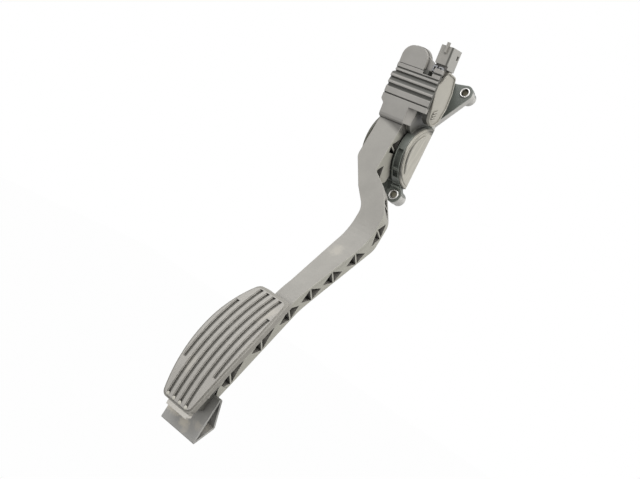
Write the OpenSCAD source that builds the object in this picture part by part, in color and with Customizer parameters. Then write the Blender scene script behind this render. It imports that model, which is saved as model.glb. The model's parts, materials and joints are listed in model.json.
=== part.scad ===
// Car accelerator pedal: a cranked truss arm with a grooved tread, hung in a bulkhead housing
// +Z is up, +Y points at the bulkhead, and x = 0 is the middle of the slot that the arm swings in
// The origin lies on the mounting face, level with the pivot

/* [Mounting] */
// Height of the bolt bosses, from the lug fronts to the mounting face
boss_h = 13; // [12:0.5:14]
// Thickness of the flange plate
flange_t = 6; // [5:0.5:7]
// Radius of a lug round its bolt hole
lug_r = 7.4; // [7:0.1:8]
// Radius of a bolt boss behind its lug
boss_r = 6.6; // [6.2:0.1:7]
// Outer radius of the steel bushes
bush_r = 4.9; // [4.5:0.1:5.2]
// Radius of the bolt holes
bolt_r = 3.3; // [3.1:0.1:3.5]
// Lower bolt hole, to the right of the slot
low_hole_x = 19.5; // [18.5:0.5:20.5]
// Lower bolt hole, below the pivot
low_hole_drop = 60.5; // [60:0.5:63]
// Upper bolt hole, to the right of the slot
up_hole_x = 30; // [28:0.5:32]
// Upper bolt hole, above the pivot
up_hole_rise = 50.3; // [49:0.1:52]

/* [Pivot] */
// Distance of the pivot from the mounting face
pivot_depth = 37; // [36.5:0.5:38]
// Radius of the pivot shaft
shaft_r = 4; // [3.5:0.1:4.3]
// Radius of the arm's hub
hub_r = 11.5; // [11:0.1:11.8]
// Wall of the hub bushes
hub_bush_t = 2; // [1.5:0.1:2.5]
// Radial running gap between shaft and bushes
run_gap = 0.05; // [0.03:0.01:0.08]
// Swing of the pedal in degrees
swing = 11; // [9:0.5:11]

/* [Housing] */
// Gap between the arm and a cheek
slot_gap = 1.2; // [0.9:0.1:1.6]
// Thickness of a cheek
cheek_t = 7.5; // [6.5:0.5:8]
// Radius of the round cheeks
cheek_r = 30.5; // [29.5:0.5:31.5]
// Middle of the round cheeks, in front of the mounting face
cheek_y = 8; // [7:0.5:9]
// Middle of the round cheeks, below the pivot
cheek_drop = 21; // [20:0.5:22]
// Radius of the boss round the pivot shaft
pivot_boss_r = 8.5; // [8:0.5:11]
// Thickness of the walls of the spring box
box_t = 3.6; // [3:0.2:4]
// Thickness of the cover on the right cheek
cover_t = 1.5; // [1.2:0.1:2]

/* [Hood] */
// Forward lean of the hood and the sensor in degrees
lean = 16; // [15:0.5:17]
// Distance of the hood's front from the mounting face, level with the pivot
hood_depth = 53.5; // [53:0.5:56]
// Thickness of the hood's front wall behind its ridges
hood_t = 3.2; // [3:0.1:3.6]
// Depth of the hood's rim
hood_rim = 9; // [8:0.5:10]
// Distance of the hood's right edge from the middle of the slot
hood_right = 30.5; // [29.5:0.5:31.5]
// Height of the top of the hood above the pivot, along the lean
hood_top = 41.5; // [41:0.5:43]
// Distance between the hood's ridges
ridge_pitch = 6; // [5.6:0.1:6.2]
// Depth of the hood's ridges
ridge_d = 1.8; // [1.2:0.1:2]
// Corner radius of the half-round tab
tab_r = 11; // [10:0.5:12]
// Height of the half-round tab above the hood
tab_h = 16.5; // [15:0.5:18]

/* [Sensor] */
// Thickness of the sensor housing
sensor_t = 5; // [4.8:0.1:5.6]
// Thickness of the sensor cover
lid_t = 2.8; // [2.4:0.1:3.2]
// Wall of the sensor housing and of the socket
sensor_wall = 1.8; // [1.5:0.1:2]
// Width of the connector socket
socket_w = 12.2; // [11.5:0.1:13]
// Depth of the connector socket, front to back
socket_d = 15.4; // [14.5:0.1:16.5]
// Height of the connector socket's mouth above the pivot, along the lean
socket_top = 66; // [65:0.5:67]
// Length of the terminals in the socket
pin_h = 5.5; // [4:0.5:6]

/* [Arm] */
// Width of the arm's front plate at the top
arm_w = 24.6; // [23.5:0.1:25]
// Width of the arm's front plate below the crank
arm_low_w = 23.6; // [22:0.1:25]
// Width of the arm's front plate at the tread
arm_tip_w = 18.6; // [17:0.1:20]
// Depth of the arm at the top
arm_depth = 20.5; // [19.5:0.1:20.6]
// Depth of the arm below the cheeks
arm_low_depth = 15.3; // [14:0.1:16.5]
// Slope of the upper ribs and of the crank's sides in degrees
rib_rake = 13; // [10:0.5:15]
// Thickness of the arm's front plate
plate_t = 2.6; // [2:0.1:3]
// Overhang of the front plate over the arm's sides
plate_lip = 0.9; // [0.5:0.1:1.2]
// Sideways crank of the arm
crank_x = 31; // [28:0.5:33]
// Height at which the crank starts, below the pivot
crank_drop = 50; // [48:0.5:51]
// Forward bend of the arm in degrees
bend = 35.5; // [33:0.5:37]
// Height of the bend below the pivot
bend_drop = 111.6; // [110:0.5:114]
// Length of the arm between the bend and the tread
shin_len = 87; // [84:0.5:90]
// Angle of the arm behind the tread in degrees
toe_angle = 22.7; // [21:0.1:24]
// Distance between the pairs of pockets along the arm
truss_pitch = 27; // [26:0.5:28]
// Half length of a pair of pockets
pocket_len = 11.5; // [10:0.5:12]
// Thickness of the ribs between the pockets
rib_t = 1.6; // [1.2:0.1:2]
// Thickness of the web in the middle of the arm
web_t = 3; // [2.5:0.1:4]

/* [Tread] */
// Largest width of the tread
tread_w = 46.8; // [44:0.2:50]
// Length of the tread
tread_len = 105; // [102:1:108]
// Radius of the tread's curve from top to bottom
tread_curve = 150; // [145:1:155]
// Radius of the tread's sides above its widest place
tread_side_up = 125; // [115:5:140]
// Radius of the tread's sides below its widest place
tread_side_low = 255; // [230:5:280]
// Thickness of the tread
tread_t = 3.6; // [3.2:0.1:4.2]
// Distance between the grooves
groove_pitch = 6.8; // [6:0.1:7]
// Width of a groove
groove_w = 2.2; // [1.6:0.1:2.8]
// Depth of a groove
groove_d = 1.9; // [1.2:0.1:2.2]

/* [Heel stop] */
// Width of the folded heel stop
heel_w = 38; // [34:0.5:42]
// Wall of the heel stop
heel_wall = 1.6; // [1.3:0.1:2.2]
// Height of the heel stop's front
heel_h = 46; // [44:0.5:48]

/* [Hidden] */
$fn = 64;

// Colours
grey = [0.60, 0.58, 0.55];
light_grey = [0.72, 0.70, 0.65];
dark_grey = [0.33, 0.35, 0.33];
steel = [0.80, 0.80, 0.82];

// Gaps between pieces that are assembled, and between pieces that move
seat_gap = 0.02;
free_gap = 0.3;

// Pivot and planes, with y and z in the order of the side view
pivot = [-pivot_depth, 0];
lug_y = -boss_h;
plate_y = -pivot_depth - hub_r;
slot_w = arm_w + 2 * slot_gap;
cheek_in = slot_w / 2;
cheek_out = cheek_in + cheek_t;
low_hole = [low_hole_x, -low_hole_drop];
up_hole = [up_hole_x, up_hole_rise];

// Arm outline in the side view: front corners and back corners with their fillet radii
shin_dir = [-sin(bend), -cos(bend)];
shin_back = [cos(bend), -sin(bend)];
toe_dir = [-sin(toe_angle), -cos(toe_angle)];
toe_back = [cos(toe_angle), -sin(toe_angle)];
knee = [plate_y, -bend_drop];
ankle = knee + shin_len * shin_dir;
back_y = plate_y + arm_depth;
low_back_y = plate_y + arm_low_depth + 1.2;
back_knee_line = knee + arm_low_depth * shin_back;
back_knee = [low_back_y, back_knee_line[1] + (low_back_y - back_knee_line[0]) / tan(bend)];
back_ankle = ankle + arm_low_depth * (shin_back + toe_back) / (1 + shin_back * toe_back);

// Tread: the middle of its curve lies level with its lower edge
toe_reach = 49.8;
toe_drop = 106;
tread_x = crank_x - 2.5;
tread_mid = ankle + [tread_curve - toe_reach, -toe_drop];
tread_low = tread_mid[1] - 4;
tread_top = tread_low + tread_len;

// Heel stop: top, toe and rear corners of its section
heel_top = ankle + [-29.4, -85.6];
heel_toe = heel_top + heel_h * [-0.057, -0.998];
heel_rear = heel_top + [13, -29];
heel_x = crank_x - 1.6;

// Lever above the hub, and the spring line
lever_top = 36;
shoe_in = 32;
track_r = 42;
spring_z = 22;
lever_front = -pivot_depth - 4;
lever_back = -pivot_depth + 10;
lever_half = 10.5;
pocket_depth = 5;
outer_r = 7.2;
outer_wire = 0.75;
inner_r = 4.4;
inner_wire = 0.5;
seat_y = -hood_depth + 0.5;

// Magnet on its carrier, and the slot it swings in
stem_pos = pivot + [1, 24];
stem_r = 2.5;
stem_swing = 24 * sin(swing);
magnet_r = 3.6;

// Sensor planes along x
sensor_in = cheek_out + cover_t + 0.2;
sensor_out = sensor_in + sensor_t;
lid_out = sensor_out + lid_t;
floor_t = 1.5;
socket_x = hood_right - socket_w;
socket_floor = 53;

// A list without its last entry, and a list the other way round
function reversed(list) = [for (i = [len(list) - 1 : -1 : 0]) list[i]];
function unit(v) = v / norm(v);
// Signed turn between two directions, in the range from -180 to 180 degrees
function turn(a, b) = ((b - a + 540) % 360) - 180;
// Points of the fillet with radius r at corner b between a and c
function fillet(a, b, c, r, n) = let (
    u = unit(a - b), v = unit(c - b), half = acos(u * v) / 2,
    mid = b + unit(u + v) * r / sin(half), s = b + u * r / tan(half), e = b + v * r / tan(half),
    from = atan2(s[1] - mid[1], s[0] - mid[0]), to = atan2(e[1] - mid[1], e[0] - mid[0]))
    [for (i = [0 : n]) mid + r * [cos(from + turn(from, to) * i / n), sin(from + turn(from, to) * i / n)]];
function flat(p) = [p[0], p[1]];
// An open line whose corners [a, b, radius] are rounded
function soft_line(path, n = 6) = [for (i = [0 : len(path) - 1])
    each (i == 0 || i == len(path) - 1 || path[i][2] == 0) ? [flat(path[i])]
        : fillet(flat(path[i - 1]), flat(path[i]), flat(path[i + 1]), path[i][2], n)];
// A closed outline whose corners [a, b, radius] are rounded
function soft_loop(path, n = 5) = let (m = len(path)) [for (i = [0 : m - 1])
    each (path[i][2] == 0) ? [flat(path[i])]
        : fillet(flat(path[(i + m - 1) % m]), flat(path[i]), flat(path[(i + 1) % m]), path[i][2], n)];
// A closed outline moved inwards by t, for corners listed anticlockwise
function inset(path, t) = let (m = len(path)) [for (i = [0 : m - 1]) let (
    u = unit(flat(path[i]) - flat(path[(i + m - 1) % m])), v = unit(flat(path[(i + 1) % m]) - flat(path[i])),
    p = [-u[1], u[0]], q = [-v[1], v[0]], c = flat(path[i]) + t * (p + q) / (1 + p * q))
    [c[0], c[1], max(0, path[i][2] - t)]];
// Place and direction at a distance along a line of corners
function walk(path, s, i = 0) = let (d = flat(path[i + 1]) - flat(path[i]), l = norm(d))
    (s <= l || i >= len(path) - 2) ? [flat(path[i]) + d * s / l, d / l] : walk(path, s - l, i + 1);

// Draws a side view with y and z from x = a to x = b
module from_side(a, b) {
    translate([a, 0, 0]) rotate([90, 0, 90]) linear_extrude(b - a) children();
}
// Draws the arm's front view through its whole depth, along the slope of the ribs
module along_ribs() {
    translate([0, plate_y, 0]) rotate([-rib_rake, 0, 0]) translate([0, 200, 0]) rotate([90, 0, 0])
        linear_extrude(400) children();
}
// Draws a front view with x and z from y = a to y = b
module from_front(a, b) {
    translate([0, b, 0]) rotate([90, 0, 0]) linear_extrude(b - a) children();
}
// The leaning frame of the hood and the sensor: y runs back from the hood's front
module head() {
    translate([0, -hood_depth, 0]) rotate([lean, 0, 0]) children();
}
// The leaning frame in a side view
module head_side() {
    translate([-hood_depth, 0]) rotate(lean) children();
}
// A cylinder along x
module x_rod(r, a, b, at) {
    translate([a, at[0], at[1]]) rotate([0, 90, 0]) cylinder(r = r, h = b - a);
}
// A cylinder along y
module y_rod(r, a, b, at) {
    translate([at[0], a, at[1]]) rotate([-90, 0, 0]) cylinder(r = r, h = b - a);
}

// Flange plate seen from the front, with its two lugs
module flange_2d() {
    reach = up_hole + lug_r * [0.889, -0.458];
    edge = cheek_out - 2.5;
    translate(low_hole) circle(lug_r);
    translate(up_hole) circle(lug_r);
    polygon([[-cheek_out, up_hole[1] + lug_r - 2], [cheek_out - 3, up_hole[1] + lug_r - 2],
        [up_hole[0], up_hole[1] + lug_r], reach,
        [edge, 13], [edge, low_hole[1] + lug_r + 7], [cheek_out, low_hole[1] + lug_r + 2.2],
        [low_hole[0] + lug_r, low_hole[1] + 2], low_hole,
        [low_hole[0] - lug_r * 0.9, low_hole[1] - lug_r * 0.44],
        [low_hole[0] - lug_r - 1.2, low_hole[1] + 1],
        [low_hole[0] - lug_r, low_hole[1] + 11], [-cheek_out, low_hole[1] + 11]]);
}

// Round cheek seen from the side, cut off behind by its sloping rear edge
module cheek_2d(r) {
    intersection() {
        translate([-cheek_y, -cheek_drop]) circle(r);
        polygon([[-90, 30], [-16.5, 30], [-4.2, -50], [-4.2, -90], [-90, -90]]);
    }
}

// Side wall of the spring box, behind the hood's rim and above the cheek
module box_2d() {
    intersection() {
        head_side() polygon([[hood_rim, -2], [80, -2], [80, hood_top], [hood_rim, hood_top]]);
        polygon([[-90, -3], [lug_y + 2, -3], [lug_y + 2, 70], [-90, 70]]);
    }
}

// Slot for the magnet's stem, seen from the side, with the stem's whole swing in it
module stem_slot_2d(margin) {
    r = stem_r + margin;
    translate([stem_pos[0] - stem_swing - 0.4, stem_pos[1] - r])
        square([stem_swing + 0.4, 2 * r]);
    for (y = [0, -stem_swing - 0.4])
        translate(stem_pos + [y, 0]) circle(r);
}

// A straight rib on the back of the flange, between two places in the front view
module back_rib(a, b) {
    translate([a[0], lug_y + flange_t - 1, a[1]]) rotate([0, -atan2(b[1] - a[1], b[0] - a[0]), 0])
        translate([0, 0, -1.2]) cube([norm(b - a), 4.5, 2.4]);
}

module housing() {
    pocket_turns = [[-8, -42], [-46, -60]];
    rest_r = 7;
    color(dark_grey) difference() {
        union() {
            from_front(lug_y, lug_y + flange_t) flange_2d();
            for (hole = [low_hole, up_hole]) y_rod(boss_r, lug_y + 1, 0, hole);
            y_rod(rest_r, lug_y + 1, 0, [0, 0]);
            back_rib([0, 0], low_hole);
            back_rib([0, 0], up_hole);
            back_rib([0, 0], [-cheek_out + 2, 36]);
            back_rib([0, 0], [-cheek_out + 2, -36]);
            for (side = [-1, 1]) {
                from_side(side > 0 ? cheek_in : -cheek_out, side > 0 ? cheek_out : -cheek_in)
                    cheek_2d(cheek_r);
                from_side(side > 0 ? cheek_in : -cheek_in - box_t, side > 0 ? cheek_in + box_t : -cheek_in) {
                    box_2d();
                    polygon([[pivot[0] - 4, 8.5], [lug_y + 2, 8.5], [lug_y + 2, -30], [pivot[0] + 6, -14]]);
                }
            }
            x_rod(pivot_boss_r, cheek_in, cheek_in + box_t, pivot);
            x_rod(pivot_boss_r, -cheek_in - box_t, -cheek_in, pivot);
            // Roof of the spring box with the track of the friction shoe
            intersection() {
                head() translate([-cheek_in - 1, hood_rim + 0.4, hood_top - box_t])
                    cube([slot_w + 2, 60, box_t - 0.4]);
                translate([-50, -90, 0]) cube([100, 90 + lug_y + 1, 90]);
            }
            difference() {
                head() translate([-6.5, hood_rim + 1, hood_top - box_t - 6]) cube([13, 16, 7]);
                x_rod(track_r, -10, 10, pivot);
            }
            // Stop bosses behind the lever and behind the arm
            y_rod(6.5, lug_y - 5, lug_y + 1, [0, spring_z]);
            // Double ridge where the right cheek meets the lower lug
            for (z = [-50.5, -53.4])
                translate([cheek_in - 0.5, lug_y - 2.2, z - 0.8]) cube([cheek_t + 0.5, 3, 1.5]);
        }
        for (hole = [low_hole, up_hole]) y_rod(bush_r + seat_gap, lug_y - 6, 1, hole);
        x_rod(shaft_r + seat_gap, -cheek_in - box_t - 1, cheek_in + box_t - 0.6, pivot);
        // Pockets in the front band of the right cheek
        for (t = pocket_turns)
            from_side(cheek_in + 1.1, cheek_out - 0.5) intersection() {
                difference() {
                    translate([-cheek_y, -cheek_drop]) circle(cheek_r + 2);
                    translate([-cheek_y, -cheek_drop]) circle(cheek_r - 3);
                }
                polygon([[-cheek_y, -cheek_drop],
                    [-cheek_y, -cheek_drop] + 60 * [-cos(t[0]), sin(t[0])],
                    [-cheek_y, -cheek_drop] + 60 * [-cos(t[1]), sin(t[1])]]);
            }
        from_side(cheek_in - 1, cheek_in + box_t + 1) stem_slot_2d(0.7);
        // Room for the back of the arm at full travel
        translate([-cheek_in + 0.9, lug_y - 1, low_hole[1] + 2.5]) cube([slot_w - 1.8, 3.6, 17]);
    }
}

module mount_bush(hole) {
    color(steel) difference() {
        y_rod(bush_r, lug_y - 0.4, 0, hole);
        y_rod(bolt_r, lug_y - 2, 1, hole);
    }
}

module upper_mount_bush() {
    mount_bush(up_hole);
}

module lower_mount_bush() {
    mount_bush(low_hole);
}

// D-shaped cover on the right cheek with a raised arc
module side_cover() {
    color(light_grey) {
        from_side(cheek_out, cheek_out + cover_t) cheek_2d(cheek_r - 0.8);
        from_side(cheek_out + cover_t, cheek_out + cover_t + 0.7) intersection() {
            difference() {
                cheek_2d(cheek_r - 7);
                translate([-cheek_y, -cheek_drop]) circle(cheek_r - 8.6);
            }
            polygon([[-60, -2], [-20, -2], [-20, -48], [-60, -48]]);
        }
    }
}

// Front profile of the hood in its leaning frame: bevel, grooves and saw-tooth ridges, from below
function hood_profile() = concat(
    [[1.6, -8.8], [0.4, -7.2], [0, -5], [0, 11.3], [1, 11.6], [1, 12.4], [0, 12.7], [0, 17.5],
    [ridge_d, 19.4], [ridge_d, 20.8]],
    [for (i = [0 : 2]) each [[0, 21.3 + i * ridge_pitch], [0, 22.6 + i * ridge_pitch],
        [i < 2 ? ridge_d : 1.1, 21.3 + i * ridge_pitch + (i < 2 ? ridge_pitch - 0.4 : 3)]]],
    [[0, 24.8 + 2 * ridge_pitch], [0, hood_top - 1.5], [1.2, hood_top - 1.2], [1.2, hood_top - 0.2],
    [0, hood_top + 0.2], [0, 80], [hood_t, 80], [hood_t, 8], [1.6, 5]]);

module front_hood() {
    lower_half = arm_w / 2 + 0.6;
    left = cheek_in + box_t;
    color(grey) head() {
        intersection() {
            from_side(-left, hood_right) polygon(hood_profile());
            from_front(-1, hood_t + 1) {
                polygon(soft_loop([[-lower_half - 0.5, -10, 2], [lower_half, -10, 0], [lower_half, 6.7, 0],
                    [hood_right, 6.7, 0], [hood_right, hood_top + 4, 1], [22.5, hood_top + 4, 0.6],
                    [22.5, hood_top - 4, 0], [13, hood_top - 4, 0], [13, hood_top, 0],
                    [-14.4, hood_top, 0], [-14.4, 32.6, 0], [-left, 31, 0], [-left, 6, 2],
                    [-lower_half - 0.5, 3, 2]]));
            }
        }
        // Half-round tab of two plates over the hood
        for (plate = [[0, 3, 0], [4.4, 8, 0.8]])
            from_front(plate[0], plate[1]) {
                intersection() {
                    translate([-40, hood_top - 1]) square([80, 40]);
                    union() for (x = [-2.8, 1.6])
                        translate([x, hood_top + tab_h - tab_r]) circle(tab_r + plate[2]);
                }
                translate([-2.8 - tab_r - plate[2], hood_top - 1])
                    square([2 * tab_r + 4.4 + 2 * plate[2], tab_h - tab_r + 1]);
                translate([-2.8, hood_top]) square([4.4, tab_h + plate[2]]);
                polygon([[0, hood_top - 1], [12.5 + 6 * plate[2], hood_top - 1], [12.5, hood_top + 9],
                    [0, hood_top + 9]]);
            }
        translate([-14.4, 2, hood_top - box_t]) cube([14.4 + left, hood_rim - 2, box_t]);
        // Flap that runs back from the hood's lower edge to the pivot boss
        difference() {
            translate([0, 0, -7.6]) linear_extrude(14.2)
                polygon([[cheek_in - 0.7, 1], [lower_half, 1], [cheek_in + box_t, 7],
                    [cheek_in + box_t, hood_rim - seat_gap], [cheek_in - 0.7, hood_rim - seat_gap]]);
            rotate([-lean, 0, 0]) translate([0, hood_depth, 0]) x_rod(pivot_boss_r + seat_gap, 0, 50, pivot);
        }
        // Rim walls that close on the spring box
        translate([-left, 2, 8]) cube([2.4, hood_rim - 2, 23]);
        translate([-14.4, 2, 28]) cube([2, hood_rim - 2, hood_top - 29]);
        translate([left - 2.4, 2, 8]) cube([2.4, hood_rim - 2, hood_top - 8]);
    }
}

// Corners of the lozenge of the sensor, in the leaning frame, anticlockwise
function lozenge() = [[hood_t + seat_gap, 33.4, 3], [hood_t + seat_gap, 26, 3], [11.5, 1.5, 6], [19.5, -2.2, 6],
    [27.5, 3, 7], [31.8, 17, 10], [31.4, 31, 10], [26.6, 45, 4], [11, 47, 2], [10.4, 41.5, 4]];

module sensor_housing() {
    color(grey) difference() {
        head() {
            from_side(sensor_in, sensor_out) polygon(soft_loop(lozenge()));
            // Neck that seats on the side of the spring box
            translate([cheek_in + box_t, 15, 14.5]) cube([sensor_in - cheek_in - box_t, 14, 25]);
            // Foot of the connector socket, with two open clips in front of it
            translate([socket_x, 6, hood_top]) cube([sensor_out - socket_x, 15, 8.5]);
            for (step = [0, 5.6]) difference() {
                translate([socket_x + step, hood_t + seat_gap, hood_top + 1.2]) cube([4, 3.4, 5.2]);
                translate([socket_x + step + 1, hood_t - 1, hood_top + 2.4]) cube([2, 3.4, 2.8]);
            }
            translate([socket_x, hood_t, 50]) cube([socket_w, socket_d, socket_top - 50]);
            translate([socket_x, 6, 47.2]) cube([socket_w, socket_d - 2.8, 3.8]);
            // Latch nose of the socket
            translate([socket_x + socket_w / 2 - 1.1, hood_t - 1.5, 60]) cube([2.2, 2.4, 9]);
        }
        head() {
            from_side(sensor_in + floor_t, sensor_out + 1) polygon(soft_loop(inset(lozenge(), sensor_wall)));
            translate([socket_x + sensor_wall, hood_t + sensor_wall, socket_floor])
                cube([socket_w - 2 * sensor_wall, socket_d - 2 * sensor_wall, socket_top - socket_floor + 1]);
            translate([hood_right - sensor_wall - 1, hood_t + 10.6, 57.8]) cube([sensor_wall + 2, 3, 3.6]);
        }
        from_side(cheek_in + box_t - 1, sensor_in + floor_t + 1) stem_slot_2d(0.9);
    }
    // Pillars under the circuit board
    color(grey) head() for (at = [[14, 9], [24, 34]])
        x_rod(1.6, sensor_in + floor_t, sensor_out - 1.7, at);
}

// Lid of the sensor with a raised rim and grip ribs at its lower end
module sensor_cover() {
    rim = 1.5;
    step = 0.8;
    color(light_grey) head() {
        difference() {
            from_side(sensor_out, lid_out) polygon(soft_loop(lozenge()));
            from_side(lid_out - step, lid_out + 1) polygon(soft_loop(inset(lozenge(), rim)));
        }
        for (i = [0 : 3])
            from_side(lid_out - step, lid_out)
                translate([13.5 + 0.2 * i, 2.2 + 2.4 * i]) rotate(25) square([6.5, 1]);
    }
}

module circuit_board() {
    board_t = 1.4;
    color([0.15, 0.32, 0.2]) head()
        from_side(sensor_out - 1.7, sensor_out - 1.7 + board_t)
            polygon(soft_loop(inset(lozenge(), sensor_wall + 0.5)));
}

// Six flat terminals that stand on the socket's floor
module terminals() {
    color(steel) head() for (i = [-1 : 1]) for (j = [-1, 1])
        translate([socket_x + socket_w / 2 + 2.4 * i - 0.4, hood_t + socket_d / 2 + 2.2 * j - 0.4, socket_floor])
            cube([0.8, 0.8, pin_h]);
}

module pivot_shaft() {
    color(steel) x_rod(shaft_r, -cheek_in - box_t, cheek_in + box_t - 0.6 - seat_gap, pivot);
}

// Seat of the springs: flat behind, and leaning in front as the hood does
module spring_seat() {
    color(dark_grey) intersection() {
        union() {
            y_rod(outer_r + 2, -90, seat_y, [0, spring_z]);
            y_rod(inner_r - inner_wire - 0.5, -90, seat_y + 3, [0, spring_z]);
        }
        head() translate([-30, hood_t, -10]) cube([60, 60, 60]);
    }
}

// Coil of round wire along y, as a ring of points carried along the helix
module coil(r, wire, turns, from_y, to_y) {
    sides = 8;
    steps = turns * 12;
    ring = [for (k = [0 : steps]) let (a = 360 * turns * k / steps, y = from_y + (to_y - from_y) * k / steps)
        for (j = [0 : sides - 1]) let (b = 360 * j / sides, q = r + wire * cos(b))
        [q * cos(a), y + wire * sin(b), q * sin(a) + spring_z]];
    walls = [for (k = [0 : steps - 1]) for (j = [0 : sides - 1]) let (n = (j + 1) % sides)
        [k * sides + j, k * sides + n, (k + 1) * sides + n, (k + 1) * sides + j]];
    ends = [[for (j = [sides - 1 : -1 : 0]) j], [for (j = [0 : sides - 1]) steps * sides + j]];
    polyhedron(ring, concat(walls, ends));
}

module outer_spring() {
    color(steel) coil(outer_r, outer_wire, 4, seat_y + outer_wire + 0.1,
        lever_front + pocket_depth - outer_wire - 0.1);
}

module inner_spring() {
    color(steel) coil(inner_r, inner_wire, 5, seat_y + inner_wire + 0.1,
        lever_front + pocket_depth - inner_wire - 0.1);
}

// Rubber stop behind the lever at rest
module idle_stop() {
    color([0.1, 0.1, 0.1]) y_rod(5, lever_back + free_gap, lug_y - 5, [0, spring_z]);
}

// Rubber stop behind the arm at full travel
module full_stop() {
    stop_z = -29;
    reach = -pivot_depth + (back_y + pivot_depth) / cos(swing) + (-stop_z + 5) * tan(swing) + free_gap;
    color([0.1, 0.1, 0.1]) y_rod(5, reach, lug_y, [0, stop_z]);
}

// Side view of the arm: hub, lever, shank, and the toe that fills up to the tread
module arm_side_2d() {
    front = [[plate_y, 0, 0], [knee[0], knee[1], 44], [ankle[0], ankle[1], 60],
        concat(ankle + 96 * toe_dir, 0)];
    back = [[back_y, 0, 0], [back_y, -crank_drop + 7, 4], [back_y + 5.2, -crank_drop + 2, 3],
        [back_y + 5.2, -crank_drop - 5.5, 4], [low_back_y - 3.4, -crank_drop - 14, 6],
        [low_back_y, -crank_drop - 36, 40], [back_knee[0], back_knee[1], 12], [back_ankle[0], back_ankle[1], 60],
        concat(back_ankle + 87 * toe_dir, 0)];
    difference() {
        union() {
            polygon(concat(soft_line(front), reversed(soft_line(back))));
            intersection() {
                translate(tread_mid) circle(tread_curve - tread_t - seat_gap, $fn = 200);
                polygon([ankle + [-60, -10], ankle + [8, -10], back_ankle, back_ankle + 87 * toe_dir,
                    heel_toe + [0, 25], [heel_toe[0], tread_low + 5], [heel_toe[0] - 60, tread_low + 5]]);
            }
        }
        translate([-seat_gap, 2 * seat_gap])
            polygon([heel_top + [0.4, 2], heel_top, heel_toe, heel_toe + [60, 0], heel_top + [60, 2]]);
    }
}

// Left and right edges of the arm in the front view, moved outwards by e
function arm_right(e) = [[arm_w / 2 + e, 12, 0], [arm_w / 2 + e, -crank_drop - 3.6, 3],
    [crank_x - 2 + e, -crank_drop - 15, 14], [crank_x + arm_low_w / 2 + 0.4 + e, -crank_drop - 36.5, 14],
    [crank_x + arm_low_w / 2 + e, -125, 60],
    [crank_x + arm_low_w / 2 - 0.8 + e, ankle[1], 0], [crank_x + arm_low_w / 2 - 0.8 + e, -330, 0]];
function arm_left(e) = [[-arm_w / 2 - e, 12, 0], [-arm_w / 2 - e, -crank_drop + 2, 8],
    [crank_x - 26.2 - e, -crank_drop - 22.5, 3],
    [crank_x - arm_low_w / 2 - e, -crank_drop - 38, 14], [crank_x - arm_low_w / 2 - e, -125, 60],
    [crank_x + arm_low_w / 2 - 0.8 - arm_tip_w - e, ankle[1], 0],
    [crank_x + arm_low_w / 2 - 0.8 - arm_tip_w - e, -330, 0]];
// Heights as they lie in the plane square to the ribs
function raked(path) = [for (p = path) [p[0], p[1] * cos(rib_rake), p[2]]];
module arm_front_2d(e) {
    polygon(concat(soft_line(raked(arm_right(e))), reversed(soft_line(raked(arm_left(e))))));
}

// Web in the middle of the arm, seen from the front
module web_2d() {
    middle = raked([[0, 20, 0], [0, -crank_drop - 1, 0], [crank_x, -crank_drop - 36.5, 0], [crank_x, -125, 0],
        [crank_x + arm_low_w / 2 - 0.8 - arm_tip_w / 2, ankle[1], 0],
        [crank_x + arm_low_w / 2 - 0.8 - arm_tip_w / 2, -330, 0]]);
    for (i = [0 : len(middle) - 2]) let (a = flat(middle[i]), b = flat(middle[i + 1]),
        n = unit([a[1] - b[1], b[0] - a[0]]))
        polygon([a + n * web_t / 2, a - n * web_t / 2, b - n * web_t / 2, b + n * web_t / 2]);
    for (m = middle) translate(flat(m)) circle(web_t / 2);
}

// A pair of triangular pockets on both sides of a rib, at distance s along the middle of the arm
module pocket_pair_2d(s, half, depth, up, up_at, down, down_at, slant) {
    line = [[(plate_y + back_y) / 2, 0], (knee + back_knee) / 2, (ankle + back_ankle) / 2,
        (ankle + back_ankle) / 2 + 100 * toe_dir];
    spot = walk(line, s);
    t = spot[1];
    n0 = [-t[1], t[0]];
    n = [n0[0] * cos(slant) + n0[1] * sin(slant), -n0[0] * sin(slant) + n0[1] * cos(slant)];
    a = spot[0] - n * (half - plate_t - 0.6);
    c = a + n * depth;
    for (way = [[-1, up, up_at], [1, down, down_at]])
        polygon([a + way[0] * t * rib_t / 2, c + way[0] * t * rib_t / 2,
            a + way[0] * t * way[1] + n * depth * way[2]]);
}

// All pockets in the side of the arm, as one side view
module truss_2d() {
    first = truss_pitch + 2;
    top_half = arm_depth / 2 - 0.5;
    low_half = arm_low_depth / 2;
    full = arm_low_depth - plate_t - 1.5;
    // Upper pockets, which leave the rear of the side flush
    pocket_pair_2d(first, top_half, 12, pocket_len - 1, 0.6, 6, 0.2, 13);
    pocket_pair_2d(first + truss_pitch, top_half, 11, pocket_len - 1, 0.6, 6, 0.2, 13);
    pocket_pair_2d(first + 2 * truss_pitch - 5, top_half, 11, 8, 0.7, 7.5, 1, 13);
    // Pockets below the bend: number along the arm, shift and slant of the rib
    for (place = [[3, -5, 18], [4, 0, 0], [5, 1.4, 0], [6, 0, 0], [7, -1.5, 14]])
        pocket_pair_2d(first - 4 + place[0] * truss_pitch + place[1], low_half, full, pocket_len, 0.65,
            pocket_len + 0.5, 0.5, place[2]);
    for (place = [0, 35])
        pocket_pair_2d(first - 4 + 8.15 * truss_pitch + place, low_half, full, pocket_len + 4, 0.25, pocket_len,
            0.4, 20);
    // Cells between the shank and the tread
    difference() {
        intersection() {
            translate(tread_mid) circle(tread_curve - tread_t - 2, $fn = 200);
            polygon([ankle + [-60, -16], ankle + 14 * toe_dir - 2.5 * toe_back, ankle + 84 * toe_dir - 2.5 * toe_back,
                ankle + [-80, -84]]);
        }
        for (i = [0 : 5])
            translate(ankle + (20 + 13 * i) * toe_dir) rotate(toe_angle < 0 ? 0 : -toe_angle)
                translate([-50, -rib_t / 2]) square([60, rib_t]);
    }
}

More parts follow.
